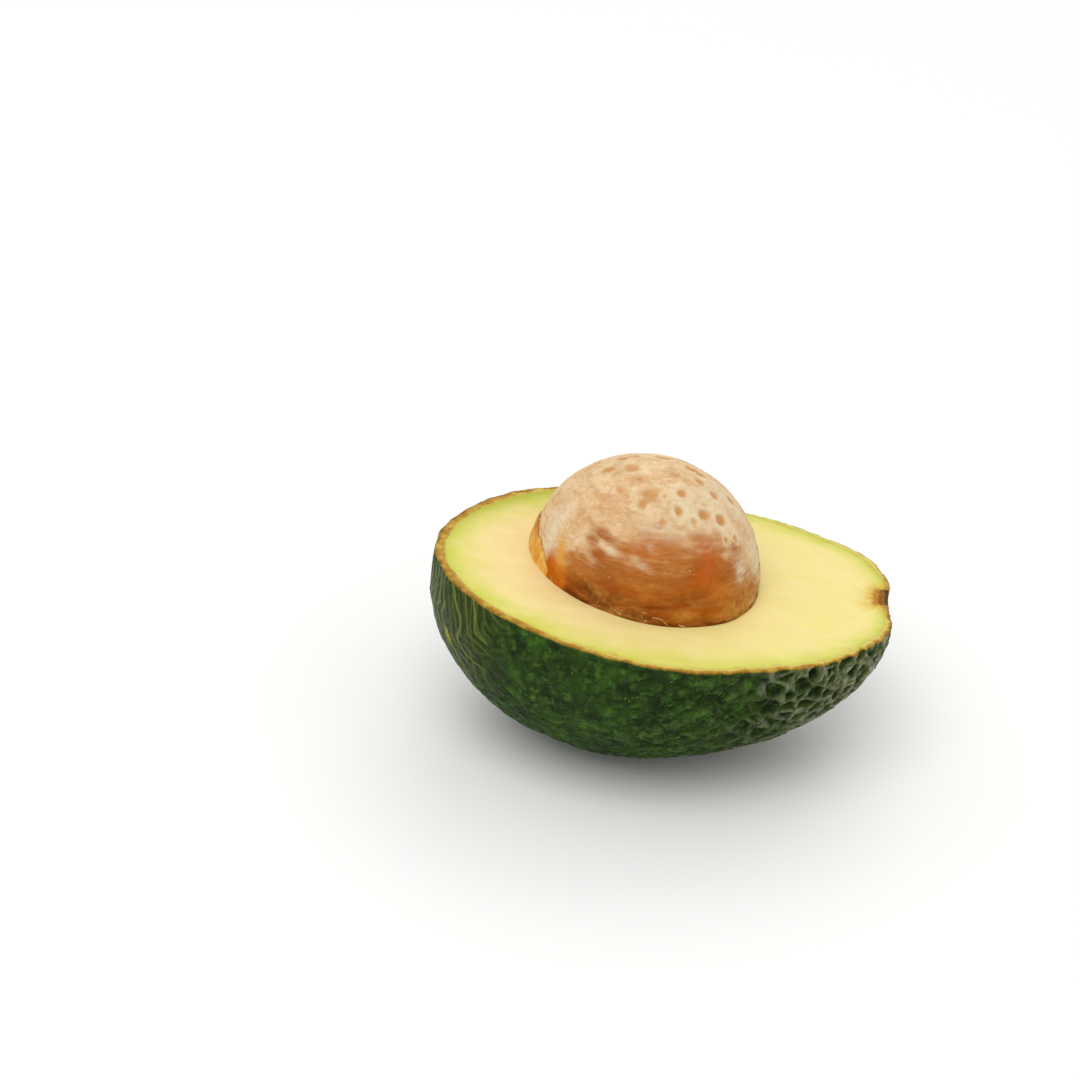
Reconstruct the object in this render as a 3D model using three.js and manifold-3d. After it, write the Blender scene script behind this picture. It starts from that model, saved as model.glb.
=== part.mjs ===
// Half an avocado with its stone, cut lengthwise, lying on its skin with the cut face up. Millimetres.
// It is modelled in the fruit's own frame: the cut face is the plane z = 0, the flesh is below it and +x
// points to the stem end. At the end it is dipped and moved so that it rests: +Z up, origin on the flat
// resting spot.
import * as THREE from "three";
import Module from "manifold-3d";

// ---- Driving dimensions ----
const LENGTH = 95; // blunt end to stem end, along the cut face
const DEPTH = 36.1; // cut face to the deepest skin
const SKIN = 1.3; // mean thickness of the skin
const GAP = 0.3; // clearance between neighbouring solids

// The outline of the cut face, as shares of half the length: a mean radius and the lobes added to it, which
// make it long, fuller at the blunt end and a little lopsided, as grown fruit is.
const OUTLINE_MEAN = 0.862;
const OUTLINE_COS = [0.002, 0.121, 0.0115, 0.0157, -0.004];
const OUTLINE_SIN = [-0.0247, 0.0171, 0.0088, 0.007, 0];

// Swells and dents of the rim, by their angle from the stem end and their width in degrees. They make the
// blunt shoulder beside the stub and the hollow in front of it, and fade out below the cut face.
const RIM_FORMS = [
  { at: 20, width: 9, rise: 1.7 },
  { at: -6, width: 9, rise: -2.2 },
  { at: -72, width: 22, rise: -0.8 },
  { at: 160, width: 20, rise: -0.9 },
];
const RIM_FADE = 8; // depth over which they fade

const BELLY = { x: -5.3, y: 0.65 }; // how far the deepest skin lies from the middle of the cut face

const REST_DIP = 5; // degrees that the stem end dips by when the half has rolled to its balance
const REST_SINK = 0.5; // how far the soft skin flattens where it rests

// Round warts all over the skin. Their width is a share of their pitch, and their mean is of the domes' sum.
const WART = { count: 430, atBlunt: 1.0, atStem: 1.6, width: 0.38, mean: 0.36, jitter: 0.9 };
const STEM_PIT = { depth: 0.7, radius: 4.2 }; // hollow round the stub of the stalk
const STUB = { length: 3.2, radius: 3.6, recess: 0.15, slant: 0.28, sides: 14 }; // it is cut in half too

const STONE = { x: -4.4, y: 2.75, z: -1.2, rx: 22.9, ry: 23.8, rz: 22.6 }; // centre and half sizes
const DENT = { count: 24, radius: 3.2, depth: 0.5, reach: 1.15 }; // shallow dents round the stone's top

// The torn edge of the seed coat, still standing between stone and flesh at the blunt end. Its two angles are
// in degrees.
const COAT = { from: 134, to: 208, gap: 0.35, thickness: 0.75, below: 4, above: 4.8, steps: 24 };

// How many rings of points each surface has, from its pole to its edge.
const RINGS = { skin: 34, lining: 12, flesh: 13, face: 4, cavity: 10, stone: 13 };

const COLOUR = { skin: 0x2b4a22, flesh: 0xefe398, stone: 0xb5763f, coat: 0xb0651c, stub: 0x4a3820 };
const GOLDEN_ANGLE = Math.PI * (3 - Math.sqrt(5));
const QUARTER = Math.PI / 2;

const wasm = await Module();
wasm.setup();

// ---- Surfaces made of rings ----

/** Adds the triangles between two closed loops of point numbers, which may differ in length. */
function zip(a, b, triangles) {
  const stepsA = a.length > 1 ? a.length : 0;
  const stepsB = b.length > 1 ? b.length : 0;
  let i = 0;
  let j = 0;
  while (i < stepsA || j < stepsB) {
    const nextIsA = j >= stepsB || (i < stepsA && (i + 1) / stepsA <= (j + 1) / stepsB);
    if (nextIsA) {
      triangles.push(a[i], a[(i + 1) % a.length], b[j % b.length]);
      i += 1;
    } else {
      triangles.push(a[i % a.length], b[(j + 1) % b.length], b[j]);
      j += 1;
    }
  }
}

/** A closed solid through rings of points. The first and last ring are single points. */
function loft(rings) {
  const loops = [];
  let count = 0;
  for (const ring of rings) {
    loops.push(ring.map((_, i) => count + i));
    count += ring.length;
  }
  const triangles = [];
  for (let r = 1; r < loops.length; r += 1) {
    zip(loops[r - 1], loops[r], triangles);
  }
  const points = rings.flat().flatMap((p) => [p.x, p.y, p.z]);
  return new wasm.Manifold(
    new wasm.Mesh({
      numProp: 3,
      vertProperties: new Float32Array(points),
      triVerts: new Uint32Array(triangles),
    }),
  );
}

/** Rings over a bowl, pole first. Each has 6 more points than the last, so that the triangles stay even. */
function bowl(count, pointAt) {
  const rings = [[pointAt(0, 0)]];
  for (let k = 1; k <= count; k += 1) {
    const around = 6 * k;
    const ring = Array.from({ length: around }, (_, j) =>
      pointAt((j / around) * 2 * Math.PI, (k / count) * QUARTER),
    );
    rings.push(ring);
  }
  return rings;
}

/** A repeatable random number from 0 to 1 for item i of a series. */
function draw(i, series) {
  const s = Math.sin(i * 12.9898 + series * 78.233) * 43758.5453;
  return s - Math.floor(s);
}

// ---- The body of the fruit ----

/** Radius of the cut face's outline at an angle theta from the stem end. */
function outlineRadius(theta) {
  let share = OUTLINE_MEAN;
  OUTLINE_COS.forEach((lobe, n) => {
    share += lobe * Math.cos((n + 1) * theta) + OUTLINE_SIN[n] * Math.sin((n + 1) * theta);
  });
  return (share * LENGTH) / 2;
}

/** How far the rim's swells and dents move the skin outwards at an angle and a depth. */
function rimRise(theta, depth) {
  const degrees = THREE.MathUtils.radToDeg(theta);
  let rise = 0;
  for (const form of RIM_FORMS) {
    const away = THREE.MathUtils.euclideanModulo(degrees - form.at + 180, 360) - 180;
    rise += form.rise * Math.exp(-((away / form.width) ** 2));
  }
  return rise * Math.exp(-((depth / RIM_FADE) ** 2));
}

const stemEnd = new THREE.Vector3(outlineRadius(0) + rimRise(0, 0), 0, 0);

/** How near a point is to the stem end: 1 there, falling to 0 over the given radius. */
function nearStem(p, radius) {
  return Math.exp(-p.distanceToSquared(stemEnd) / radius ** 2);
}

/** A point of the smooth skin. The angle "down" is 0 at the bottom and a quarter turn at the cut face. */
function smoothPoint(theta, down) {
  const below = Math.cos(down);
  const radius = outlineRadius(theta) * Math.sin(down) + rimRise(theta, DEPTH * below);
  const p = new THREE.Vector3(
    radius * Math.cos(theta) + BELLY.x * below * below,
    radius * Math.sin(theta) + BELLY.y * below * below,
    -DEPTH * below,
  );
  p.x -= STEM_PIT.depth * nearStem(p, STEM_PIT.radius);
  return p;
}

/** The outward normal of the smooth skin. */
function smoothNormal(theta, down) {
  if (down === 0) return new THREE.Vector3(0, 0, -1);
  const step = 1e-3;
  const round = smoothPoint(theta + step, down).sub(smoothPoint(theta - step, down));
  const rise = smoothPoint(theta, down).sub(smoothPoint(theta, down - step));
  return round.cross(rise).normalize();
}

/** The smooth skin moved along its normal. Its edge stays in the cut face. */
function shiftedPoint(theta, down, distance) {
  const p = smoothPoint(theta, down).addScaledVector(smoothNormal(theta, down), distance);
  if (down === QUARTER) p.z = 0;
  return p;
}

// ---- Warts and the resting spot ----

const warts = Array.from({ length: WART.count }, (_, i) => {
  const height = Math.min((i + 0.5 + WART.jitter * (draw(i, 1) - 0.5)) / WART.count, 1);
  const theta = i * GOLDEN_ANGLE + (WART.jitter * (draw(i, 2) - 0.5) * 2) / Math.sqrt(WART.count);
  return { at: smoothPoint(theta, Math.acos(Math.max(height, 0))), size: 0.6 + 0.4 * draw(i, 3) };
});
const wartPitch = Math.sqrt((2 * Math.PI * DEPTH * (LENGTH / 2)) / WART.count);

/** Height of the relief: a round dome on each wart's centre, measured from their mean. */
function wartHeight(p) {
  const width = WART.width * wartPitch;
  let domes = 0;
  for (const wart of warts) {
    const away = wart.at.distanceToSquared(p) / width ** 2;
    if (away < 9) domes += wart.size * Math.exp(-away);
  }
  const height = THREE.MathUtils.mapLinear(p.x, -LENGTH / 2, LENGTH / 2, WART.atBlunt, WART.atStem);
  return height * (domes - WART.mean) * (1 - nearStem(p, STEM_PIT.radius * 1.4));
}

const dip = THREE.MathUtils.degToRad(REST_DIP);
const restUp = new THREE.Vector3(-Math.sin(dip), 0, Math.cos(dip)); // "up" at rest, in the fruit's frame

/** The smooth skin's lowest point at rest. */
function lowestPoint() {
  let lowest = smoothPoint(0, 0);
  for (let down = 0; down < 0.4; down += 0.004) {
    for (let theta = 0; theta < 2 * Math.PI; theta += 0.02) {
      const p = smoothPoint(theta, down);
      if (p.dot(restUp) < lowest.dot(restUp)) lowest = p;
    }
  }
  return lowest;
}

const restCentre = lowestPoint().addScaledVector(restUp, REST_SINK);

/** A point of the real skin: the smooth skin with its warts, flattened where it rests. */
function skinPoint(theta, down) {
  const p = shiftedPoint(theta, down, wartHeight(smoothPoint(theta, down)));
  const under = Math.max(restCentre.dot(restUp) - p.dot(restUp), 0);
  return p.addScaledVector(restUp, under);
}

// ---- The stone and the room round it ----

const dents = Array.from({ length: DENT.count }, (_, i) => {
  const fromTop = DENT.reach * Math.sqrt((i + 0.5) / DENT.count);
  const way = new THREE.Vector3().setFromSphericalCoords(1, fromTop, i * GOLDEN_ANGLE);
  return { way: new THREE.Vector3(way.z, way.x, way.y), width: DENT.radius * (0.6 + 0.4 * draw(i, 5)) };
});

/** A point of the stone. The angle "down" is 0 at its bottom and a half turn at its top. */
function stonePoint(turn, down) {
  const way = new THREE.Vector3(
    Math.sin(down) * Math.cos(turn),
    Math.sin(down) * Math.sin(turn),
    -Math.cos(down),
  );
  let depth = 0;
  for (const dent of dents) {
    const away = (way.angleTo(dent.way) * STONE.rx) / dent.width;
    depth += DENT.depth * Math.exp(-away * away);
  }
  return new THREE.Vector3(
    STONE.x + way.x * (STONE.rx - depth),
    STONE.y + way.y * (STONE.ry - depth),
    STONE.z + way.z * (STONE.rz - depth),
  );
}

/** A point beside the stone at height z, the given distance out from it. */
function besideStone(turn, z, distance) {
  const share = Math.sqrt(Math.max(1 - ((z - STONE.z) / (STONE.rz + distance)) ** 2, 0));
  return new THREE.Vector3(
    STONE.x + (STONE.rx + distance) * share * Math.cos(turn),
    STONE.y + (STONE.ry + distance) * share * Math.sin(turn),
    z,
  );
}

/** A point of the cavity that the stone lies in. */
function cavityPoint(turn, down) {
  const depth = STONE.rz + COAT.gap;
  const widest = QUARTER + Math.asin(-STONE.z / depth);
  const z = down === QUARTER ? 0 : STONE.z - depth * Math.cos((down / QUARTER) * widest);
  return besideStone(turn, z, COAT.gap);
}

// ---- Solids ----

/** The torn strip of seed coat, or the room that it needs where "room" is above 0. */
function coatSolid(room) {
  const inner = COAT.gap - room;
  const outer = COAT.gap + COAT.thickness + room;
  const section = (share) => {
    const turn = THREE.MathUtils.degToRad(COAT.from + (COAT.to - COAT.from) * share);
    const full = Math.sin(Math.PI * share) ** 0.6;
    const torn = 0.85 + 0.15 * Math.cos(share * 29);
    const low = -COAT.below * full - room;
    const high = COAT.above * full * torn + room;
    const heights = [low, low / 2, 0, high / 2, high];
    const inside = heights.map((z) => besideStone(turn, z, inner));
    const outside = heights.map((z) => besideStone(turn, z, outer));
    return [...inside, ...outside.reverse()];
  };
  const tip = (share, side) => {
    const turn = THREE.MathUtils.degToRad(COAT.from + (COAT.to - COAT.from) * share + side * room * 2);
    return [besideStone(turn, 0, (inner + outer) / 2)];
  };
  const first = 0.5 / COAT.steps;
  const shares = Array.from({ length: COAT.steps }, (_, i) => first + i / COAT.steps);
  return loft([tip(0, -1), ...shares.map(section), tip(1, 1)]);
}

/** The stalk's stub, half round under the cut face, or the room that it needs where "room" is above 0. */
function stubSolid(room) {
  const end = stemEnd.x - STEM_PIT.depth - STUB.recess;
  const top = room > 0 ? 1 : 0;
  const slanted = (x, y, z) => new THREE.Vector3(x + STUB.slant * y, y, z);
  const section = (x, share) => {
    const r = STUB.radius * share + room;
    const round = Array.from({ length: STUB.sides + 1 }, (_, i) => {
      const turn = Math.PI * (1 + i / STUB.sides);
      return slanted(x, r * Math.cos(turn), r * Math.sin(turn));
    });
    return top > 0 ? [...round, slanted(x, r, top), slanted(x, -r, top)] : round;
  };
  const middle = (x) => [new THREE.Vector3(x, 0, -STUB.radius * 0.3)];
  const start = end - STUB.length;
  const beyond = room > 0 ? end + 8 : end + 0.2;
  return loft([
    middle(start - room - 0.2),
    section(start - room * 0.5, 0.5),
    section(start + STUB.length * 0.2, 0.86),
    section(start + STUB.length * 0.5, 1),
    section(room > 0 ? end + 7 : end, 1),
    middle(beyond),
  ]);
}

function skinSolid() {
  const outside = bowl(RINGS.skin, skinPoint);
  const lining = bowl(RINGS.lining, (theta, down) => shiftedPoint(theta, down, -SKIN));
  return loft([...outside, ...lining.reverse()]).subtract(stubSolid(GAP));
}

function fleshSolid() {
  const outside = bowl(RINGS.flesh, (theta, down) => shiftedPoint(theta, down, -SKIN - GAP));
  const cavity = bowl(RINGS.cavity, cavityPoint);
  const around = 6 * Math.round((RINGS.flesh + RINGS.cavity) / 2);
  const face = Array.from({ length: RINGS.face }, (_, f) =>
    Array.from({ length: around }, (_, j) => {
      const theta = (j / around) * 2 * Math.PI;
      const edge = shiftedPoint(theta, QUARTER, -SKIN - GAP);
      return edge.lerp(cavityPoint(theta, QUARTER), (f + 1) / (RINGS.face + 1));
    }),
  );
  return loft([...outside, ...face, ...cavity.reverse()]).subtract(stubSolid(GAP)).subtract(coatSolid(GAP));
}

function stoneSolid() {
  const lower = bowl(RINGS.stone, stonePoint);
  const upper = bowl(RINGS.stone, (turn, down) => stonePoint(turn, Math.PI - down));
  return loft([...lower, ...upper.reverse().slice(1)]);
}

// ---- The part ----

const atRest = new THREE.Matrix4()
  .makeRotationY(dip)
  .multiply(new THREE.Matrix4().makeTranslation(-restCentre.x, -restCentre.y, -restCentre.z));

/** A named mesh of a solid, moved to where it rests. */
function piece(name, solid, color, roughness) {
  const mesh = solid.getMesh();
  const geometry = new THREE.BufferGeometry()
    .setAttribute("position", new THREE.BufferAttribute(mesh.vertProperties, 3))
    .setIndex(new THREE.BufferAttribute(mesh.triVerts, 1))
    .applyMatrix4(atRest);
  geometry.computeVertexNormals();
  const material = new THREE.MeshStandardMaterial({ color, roughness, metalness: 0 });
  const part = new THREE.Mesh(geometry, material);
  part.name = name;
  return part;
}

const group = new THREE.Group();
group.name = "avocado_half";
group.add(
  piece("skin", skinSolid(), COLOUR.skin, 0.55),
  piece("flesh", fleshSolid(), COLOUR.flesh, 0.4),
  piece("stone", stoneSolid(), COLOUR.stone, 0.6),
  piece("seed_coat", coatSolid(0), COLOUR.coat, 0.6),
  piece("stem_stub", stubSolid(0), COLOUR.stub, 0.85),
);

export default group;
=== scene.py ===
"""The looks of half an avocado with its stone in, cut lengthwise, lying on its skin with the cut face up.

Everything is in metres, in the part's own frame: +Z up, +X to the stem end, origin on the flat resting
spot. Shapes are worked out in the fruit's frame, in which the cut face is the plane z = 0, and then laid
at rest.
"""

import logging
import math
from dataclasses import dataclass, field
from enum import Enum
from typing import Any

import bpy
import numpy as np
from mathutils import Matrix, Vector, noise

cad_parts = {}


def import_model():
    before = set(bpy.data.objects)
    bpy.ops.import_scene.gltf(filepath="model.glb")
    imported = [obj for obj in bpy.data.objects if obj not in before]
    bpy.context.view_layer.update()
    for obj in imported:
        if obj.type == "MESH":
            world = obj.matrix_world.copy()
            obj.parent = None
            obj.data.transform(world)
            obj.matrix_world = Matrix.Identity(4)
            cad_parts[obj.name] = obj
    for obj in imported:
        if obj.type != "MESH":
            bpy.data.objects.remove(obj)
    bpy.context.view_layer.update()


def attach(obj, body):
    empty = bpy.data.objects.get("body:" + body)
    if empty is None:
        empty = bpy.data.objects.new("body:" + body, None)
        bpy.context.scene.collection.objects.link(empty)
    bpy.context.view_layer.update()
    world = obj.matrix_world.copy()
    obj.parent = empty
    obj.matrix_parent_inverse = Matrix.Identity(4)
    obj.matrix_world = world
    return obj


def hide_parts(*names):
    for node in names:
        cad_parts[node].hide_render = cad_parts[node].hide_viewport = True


log = logging.getLogger("avocado")

MM = 0.001
QUARTER = math.pi / 2
TURN = 2 * math.pi
VIEW_SIDE = 1080
# How far the cut stalk leans across the fruit, as a slope. The flesh's fringe beside it follows it.
STUB_SLANT = 0.28

Array = np.ndarray
Triple = tuple[float, float, float]
Values = dict[str, Array]
Object = bpy.types.Object
Socket = bpy.types.NodeSocket
Tree = bpy.types.NodeTree


class Piece(Enum):
    """The pieces that are shown, by name."""

    PEEL = "peel"
    PULP = "pulp"
    SEED = "seed"
    COAT = "torn_seed_coat"
    STUB = "stalk_stub"
    SPECKS = "peel_lenticels"
    FLAKES = "seed_flakes"
    SEED_FIBRES = "seed_edge_fibres"
    STUB_FIBRES = "stub_fringe_fibres"


# ---- Small tools ----


def linear(srgb: int) -> tuple[float, float, float, float]:
    """Turns an sRGB hex colour into Blender's linear colour.

    Args:
        srgb: the colour as 0xRRGGBB.

    Returns:
        Linear red, green and blue, and full cover.
    """
    parts = [((srgb >> shift) & 255) / 255 for shift in (16, 8, 0)]
    parts = [c / 12.92 if c <= 0.04045 else ((c + 0.055) / 1.055) ** 2.4 for c in parts]
    return (*parts, 1.0)


def smoothstep(low: float, high: float, value: Array) -> Array:
    """0 below low, 1 above high and an even S curve between. With low above high it falls."""
    t = np.clip((value - low) / (high - low), 0, 1)
    return t * t * (3 - 2 * t)


def mottle(points: Array, size: float, seed: float, octaves: int) -> Array:
    """Smooth noise at points.

    Args:
        points: places in metres, one a row.
        size: width of the largest blotches, in metres.
        seed: any number, a different one for each pattern.
        octaves: how many finer layers are added.

    Returns:
        About -1 to 1 at each point.
    """
    shift = Vector((seed * 7.31, seed * 3.77, seed * 5.93))
    found = [noise.fractal(Vector(p) / size + shift, 1.0, 2.0, octaves) for p in points]
    return np.array(found)


def natural_cells(points: Array, size: float, seed: float) -> Array:
    """How far points are from the borders between natural cells.

    Args:
        points: places in metres, one a row.
        size: width of a cell, in metres.
        seed: any number, a different one for each pattern.

    Returns:
        0 on a border, about 1 in the middle of a cell.
    """
    shift = Vector((seed * 5.17, seed * 2.39, seed * 8.11))
    found = [noise.voronoi(Vector(p) / size + shift)[0] for p in points]
    return np.array([away[1] - away[0] for away in found])


def zip_rings(a: range, b: range) -> list[tuple[int, int, int]]:
    """Triangles between two closed rings of points, whatever their counts.

    Args:
        a: the numbers of one ring's points.
        b: the numbers of the next ring's points.

    Returns:
        The triangles, as point numbers.
    """
    steps_a = len(a) if len(a) > 1 else 0
    steps_b = len(b) if len(b) > 1 else 0
    faces = []
    i = j = 0
    while i < steps_a or j < steps_b:
        if j >= steps_b or (i < steps_a and (i + 1) * steps_b <= (j + 1) * steps_a):
            faces.append((a[i], a[(i + 1) % len(a)], b[j % len(b)]))
            i += 1
        else:
            faces.append((a[i % len(a)], b[(j + 1) % len(b)], b[j]))
            j += 1
    return faces


@dataclass
class Ring:
    """One closed ring of points, with the values that the finish reads at each."""

    points: Array
    values: Values = field(default_factory=dict)


def loft(piece: Piece, rings: list[Ring]) -> Object:
    """Makes a closed surface through rings, the first and last of which are single points.

    Args:
        piece: which piece it is, for its name.
        rings: the rings in order. Each runs anticlockwise seen from above while the surface goes up.

    Returns:
        The new object, smooth shaded, at the origin.
    """
    faces = []
    start = 0
    spans = []
    for ring in rings:
        spans.append(range(start, start + len(ring.points)))
        start += len(ring.points)
    for a, b in zip(spans, spans[1:]):
        faces.extend(zip_rings(a, b))
    mesh = bpy.data.meshes.new(piece.value)
    mesh.from_pydata(np.concatenate([ring.points for ring in rings]).tolist(), [], faces)
    names = sorted({name for ring in rings for name in ring.values})
    for name in names:
        column = [ring.values.get(name, np.zeros(len(ring.points))) for ring in rings]
        attribute = mesh.attributes.new(name, "FLOAT", "POINT")
        attribute.data.foreach_set("value", np.concatenate(column).astype(np.float32))
    mesh.shade_smooth()
    mesh.update()
    return add_object(piece.value, mesh)


def add_object(name: str, data: bpy.types.ID) -> Object:
    """Adds an object to the scene.

    Args:
        name: its name.
        data: its mesh, light or camera.

    Returns:
        The new object, at the origin.
    """
    made = bpy.data.objects.new(name, data)
    bpy.context.scene.collection.objects.link(made)
    return made


def disc_angles(count: int) -> list[tuple[Array, float]]:
    """Angles of the points in the rings of a disc, each with 6 points more than the last.

    Args:
        count: how many rings there are round the middle point.

    Returns:
        For each ring from the middle out, its points' angles and its share of the way.
    """
    pairs = [(np.zeros(1), 0.0)]
    for k in range(1, count + 1):
        pairs.append((np.arange(6 * k) / (6 * k) * TURN, k / count))
    return pairs


def add_node(tree: Tree, kind: str, inputs: dict | None = None, **settings: Any) -> bpy.types.Node:
    """Adds a node with its settings and links.

    Args:
        tree: the tree that it joins.
        kind: the node's type name.
        inputs: for each socket, by name or number, a value or the output socket to link.
        settings: the node's own properties.

    Returns:
        The new node.
    """
    node = tree.nodes.new(kind)
    for name, value in settings.items():
        setattr(node, name, value)
    for key, value in (inputs or {}).items():
        socket = node.inputs[key]
        if isinstance(value, Socket):
            tree.links.new(value, socket)
        else:
            socket.default_value = value
    return node


# ---- The fruit's shape ----


@dataclass(frozen=True)
class RimForm:
    """A swell or dent of the rim: its angle from the stem end and its width in degrees, and its rise."""

    at: float
    width: float
    rise: float


@dataclass(frozen=True)
class FruitBody:
    """The smooth body of the half: its outline in the cut face and its belly below.

    Attributes:
        half_length: half of the fruit's length.
        depth: how far its belly reaches below the cut face.
        mean: the outline's mean radius, as a share of half the length.
        cosines: the outline's even waves, from one to five round it.
        sines: its uneven waves, which make one side differ from the other.
        rim_forms: swells and dents of the rim.
        rim_fade: how far down they reach.
        belly: where the belly's lowest point lies along and across.
        pit_depth: depth of the pit that the stalk stands in.
        pit_radius: its radius.
        rest_dip: how far the stem end is tipped down at rest.
        rest_sink: how much of the belly is pressed flat.
        search: the steps round and down in which the lowest point is looked for.
    """

    half_length: float = 47.5 * MM
    depth: float = 36.1 * MM
    mean: float = 0.862
    cosines: tuple[float, ...] = (0.002, 0.121, 0.0115, 0.0157, -0.004)
    sines: tuple[float, ...] = (-0.0247, 0.0171, 0.0088, 0.007, 0.0)
    rim_forms: tuple[RimForm, ...] = (
        RimForm(20, 9, 1.7 * MM),
        RimForm(-6, 9, -2.2 * MM),
        RimForm(-28, 11, -1.0 * MM),
        RimForm(-72, 22, -0.8 * MM),
        RimForm(160, 20, -0.9 * MM),
    )
    rim_fade: float = 8 * MM
    belly: tuple[float, float] = (-5.3 * MM, 0.65 * MM)
    pit_depth: float = 0.7 * MM
    pit_radius: float = 4.2 * MM
    rest_dip: float = math.radians(5)
    rest_sink: float = 0.5 * MM
    search: tuple[float, float] = (0.02, 0.004)

    def radius(self, theta: Array) -> Array:
        """Radius of the cut face.

        Args:
            theta: angles from the stem end.

        Returns:
            The radius at each.
        """
        share = np.full_like(theta, self.mean, dtype=float)
        for n, (c, s) in enumerate(zip(self.cosines, self.sines), 1):
            share = share + c * np.cos(n * theta) + s * np.sin(n * theta)
        return share * self.half_length

    def rim_rise(self, theta: Array, depth: float) -> Array:
        """How far the rim's swells and dents move the skin outwards.

        Args:
            theta: angles from the stem end.
            depth: how far below the cut face.

        Returns:
            The rise at each angle.
        """
        rise = np.zeros_like(theta, dtype=float)
        for form in self.rim_forms:
            away = (np.degrees(theta) - form.at + 180) % 360 - 180
            rise = rise + form.rise * np.exp(-((away / form.width) ** 2))
        return rise * math.exp(-((depth / self.rim_fade) ** 2))

    @property
    def stem_end(self) -> Array:
        """The outline's point at the stem end, without the pit."""
        ahead = np.zeros(1)
        return np.array([self.radius(ahead)[0] + self.rim_rise(ahead, 0)[0], 0, 0])

    def near_stem(self, points: Array, radius: float) -> Array:
        """1 at the stem end, falling to 0 over the radius."""
        away = np.sum((points - self.stem_end) ** 2, axis=1)
        return np.exp(-away / radius**2)

    def smooth(self, theta: Array, down: float) -> Array:
        """Points of the smooth skin.

        Args:
            theta: angles from the stem end.
            down: 0 at the bottom and a quarter turn at the cut face.

        Returns:
            The points, one a row.
        """
        below = math.cos(down)
        radius = self.radius(theta) * math.sin(down) + self.rim_rise(theta, self.depth * below)
        x = radius * np.cos(theta) + self.belly[0] * below**2
        y = radius * np.sin(theta) + self.belly[1] * below**2
        points = np.column_stack([x, y, np.full_like(x, -self.depth * below)])
        points[:, 0] -= self.pit_depth * self.near_stem(points, self.pit_radius)
        return points

    def outward(self, theta: Array, down: float) -> Array:
        """Outward unit normals of the smooth skin.

        Args:
            theta: angles from the stem end.
            down: 0 at the bottom and a quarter turn at the cut face.

        Returns:
            The normals, one a row.
        """
        if down == 0:
            return np.tile([0.0, 0.0, -1.0], (len(theta), 1))
        step = 1e-3
        round_it = self.smooth(theta + step, down) - self.smooth(theta - step, down)
        rise = self.smooth(theta, down) - self.smooth(theta, down - step)
        normal = np.cross(round_it, rise)
        return normal / np.linalg.norm(normal, axis=1, keepdims=True)

    def shifted(self, theta: Array, down: float, distance: Array | float) -> Array:
        """The smooth skin moved along its normal, with its edge kept in the cut face.

        Args:
            theta: angles from the stem end.
            down: 0 at the bottom and a quarter turn at the cut face.
            distance: how far outwards, in metres.

        Returns:
            The points, one a row.
        """
        distance = np.broadcast_to(distance, theta.shape)[:, None]
        points = self.smooth(theta, down) + self.outward(theta, down) * distance
        if down == QUARTER:
            points[:, 2] = 0
        return points

    @property
    def up(self) -> Array:
        """The direction that is up at rest, in the fruit's frame."""
        return np.array([-math.sin(self.rest_dip), 0, math.cos(self.rest_dip)])

    @property
    def rest_centre(self) -> Array:
        """The middle of the flat resting spot.

        Returns:
            The point, in the fruit's frame.
        """
        round_step, down_step = self.search
        theta = np.arange(0, TURN, round_step)
        found = np.concatenate([self.smooth(theta, down) for down in np.arange(0, 0.4, down_step)])
        lowest = found[np.argmin(found @ self.up)]
        return lowest + self.up * self.rest_sink

    def rest_matrix(self) -> Matrix:
        """The move from the fruit's frame to where it rests."""
        return Matrix.Rotation(self.rest_dip, 4, "Y") @ Matrix.Translation(-Vector(self.rest_centre))

    def lay(self, rings: list[Ring]) -> list[Ring]:
        """The same rings, moved from the fruit's frame to where it rests."""
        move = np.array(self.rest_matrix())
        return [Ring(ring.points @ move[:3, :3].T + move[:3, 3], ring.values) for ring in rings]


BODY = FruitBody()


@dataclass(frozen=True)
class StoneBody:
    """The smooth stone, an egg-like ball that sits a little below the cut face."""

    centre: Triple = (-4.4 * MM, 2.75 * MM, -1.2 * MM)
    radii: Triple = (22.9 * MM, 23.8 * MM, 22.6 * MM)

    def surface(self, turn: Array, down: float, grow: Array | float = 0.0) -> Array:
        """Points of the stone.

        Args:
            turn: angles round it.
            down: 0 at its bottom and a half turn at its top.
            grow: how far outwards, in metres.

        Returns:
            The points, one a row.
        """
        way = self.ways(turn, down)
        radii = np.array(self.radii) + np.broadcast_to(grow, turn.shape)[:, None]
        return np.array(self.centre) + way * radii

    @staticmethod
    def ways(turn: Array, down: float) -> Array:
        """Unit directions from the stone's centre.

        Args:
            turn: angles round it.
            down: 0 at its bottom and a half turn at its top.

        Returns:
            The directions, one a row.
        """
        flat, tall = math.sin(down), np.full_like(turn, -math.cos(down))
        return np.column_stack([flat * np.cos(turn), flat * np.sin(turn), tall])

    def beside(self, turn: Array, z: Array | float, distance: Array | float) -> Array:
        """Points beside the stone.

        Args:
            turn: angles round it.
            z: their heights over the cut face.
            distance: how far they are out from the stone.

        Returns:
            The points, one a row.
        """
        rx, ry, rz = self.radii
        z = np.broadcast_to(z, turn.shape)
        distance = np.broadcast_to(distance, turn.shape)
        share = np.sqrt(np.maximum(1 - ((z - self.centre[2]) / (rz + distance)) ** 2, 0))
        x = self.centre[0] + (rx + distance) * share * np.cos(turn)
        y = self.centre[1] + (ry + distance) * share * np.sin(turn)
        return np.column_stack([x, y, z])


STONE = StoneBody()


# ---- Finishes ----


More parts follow.
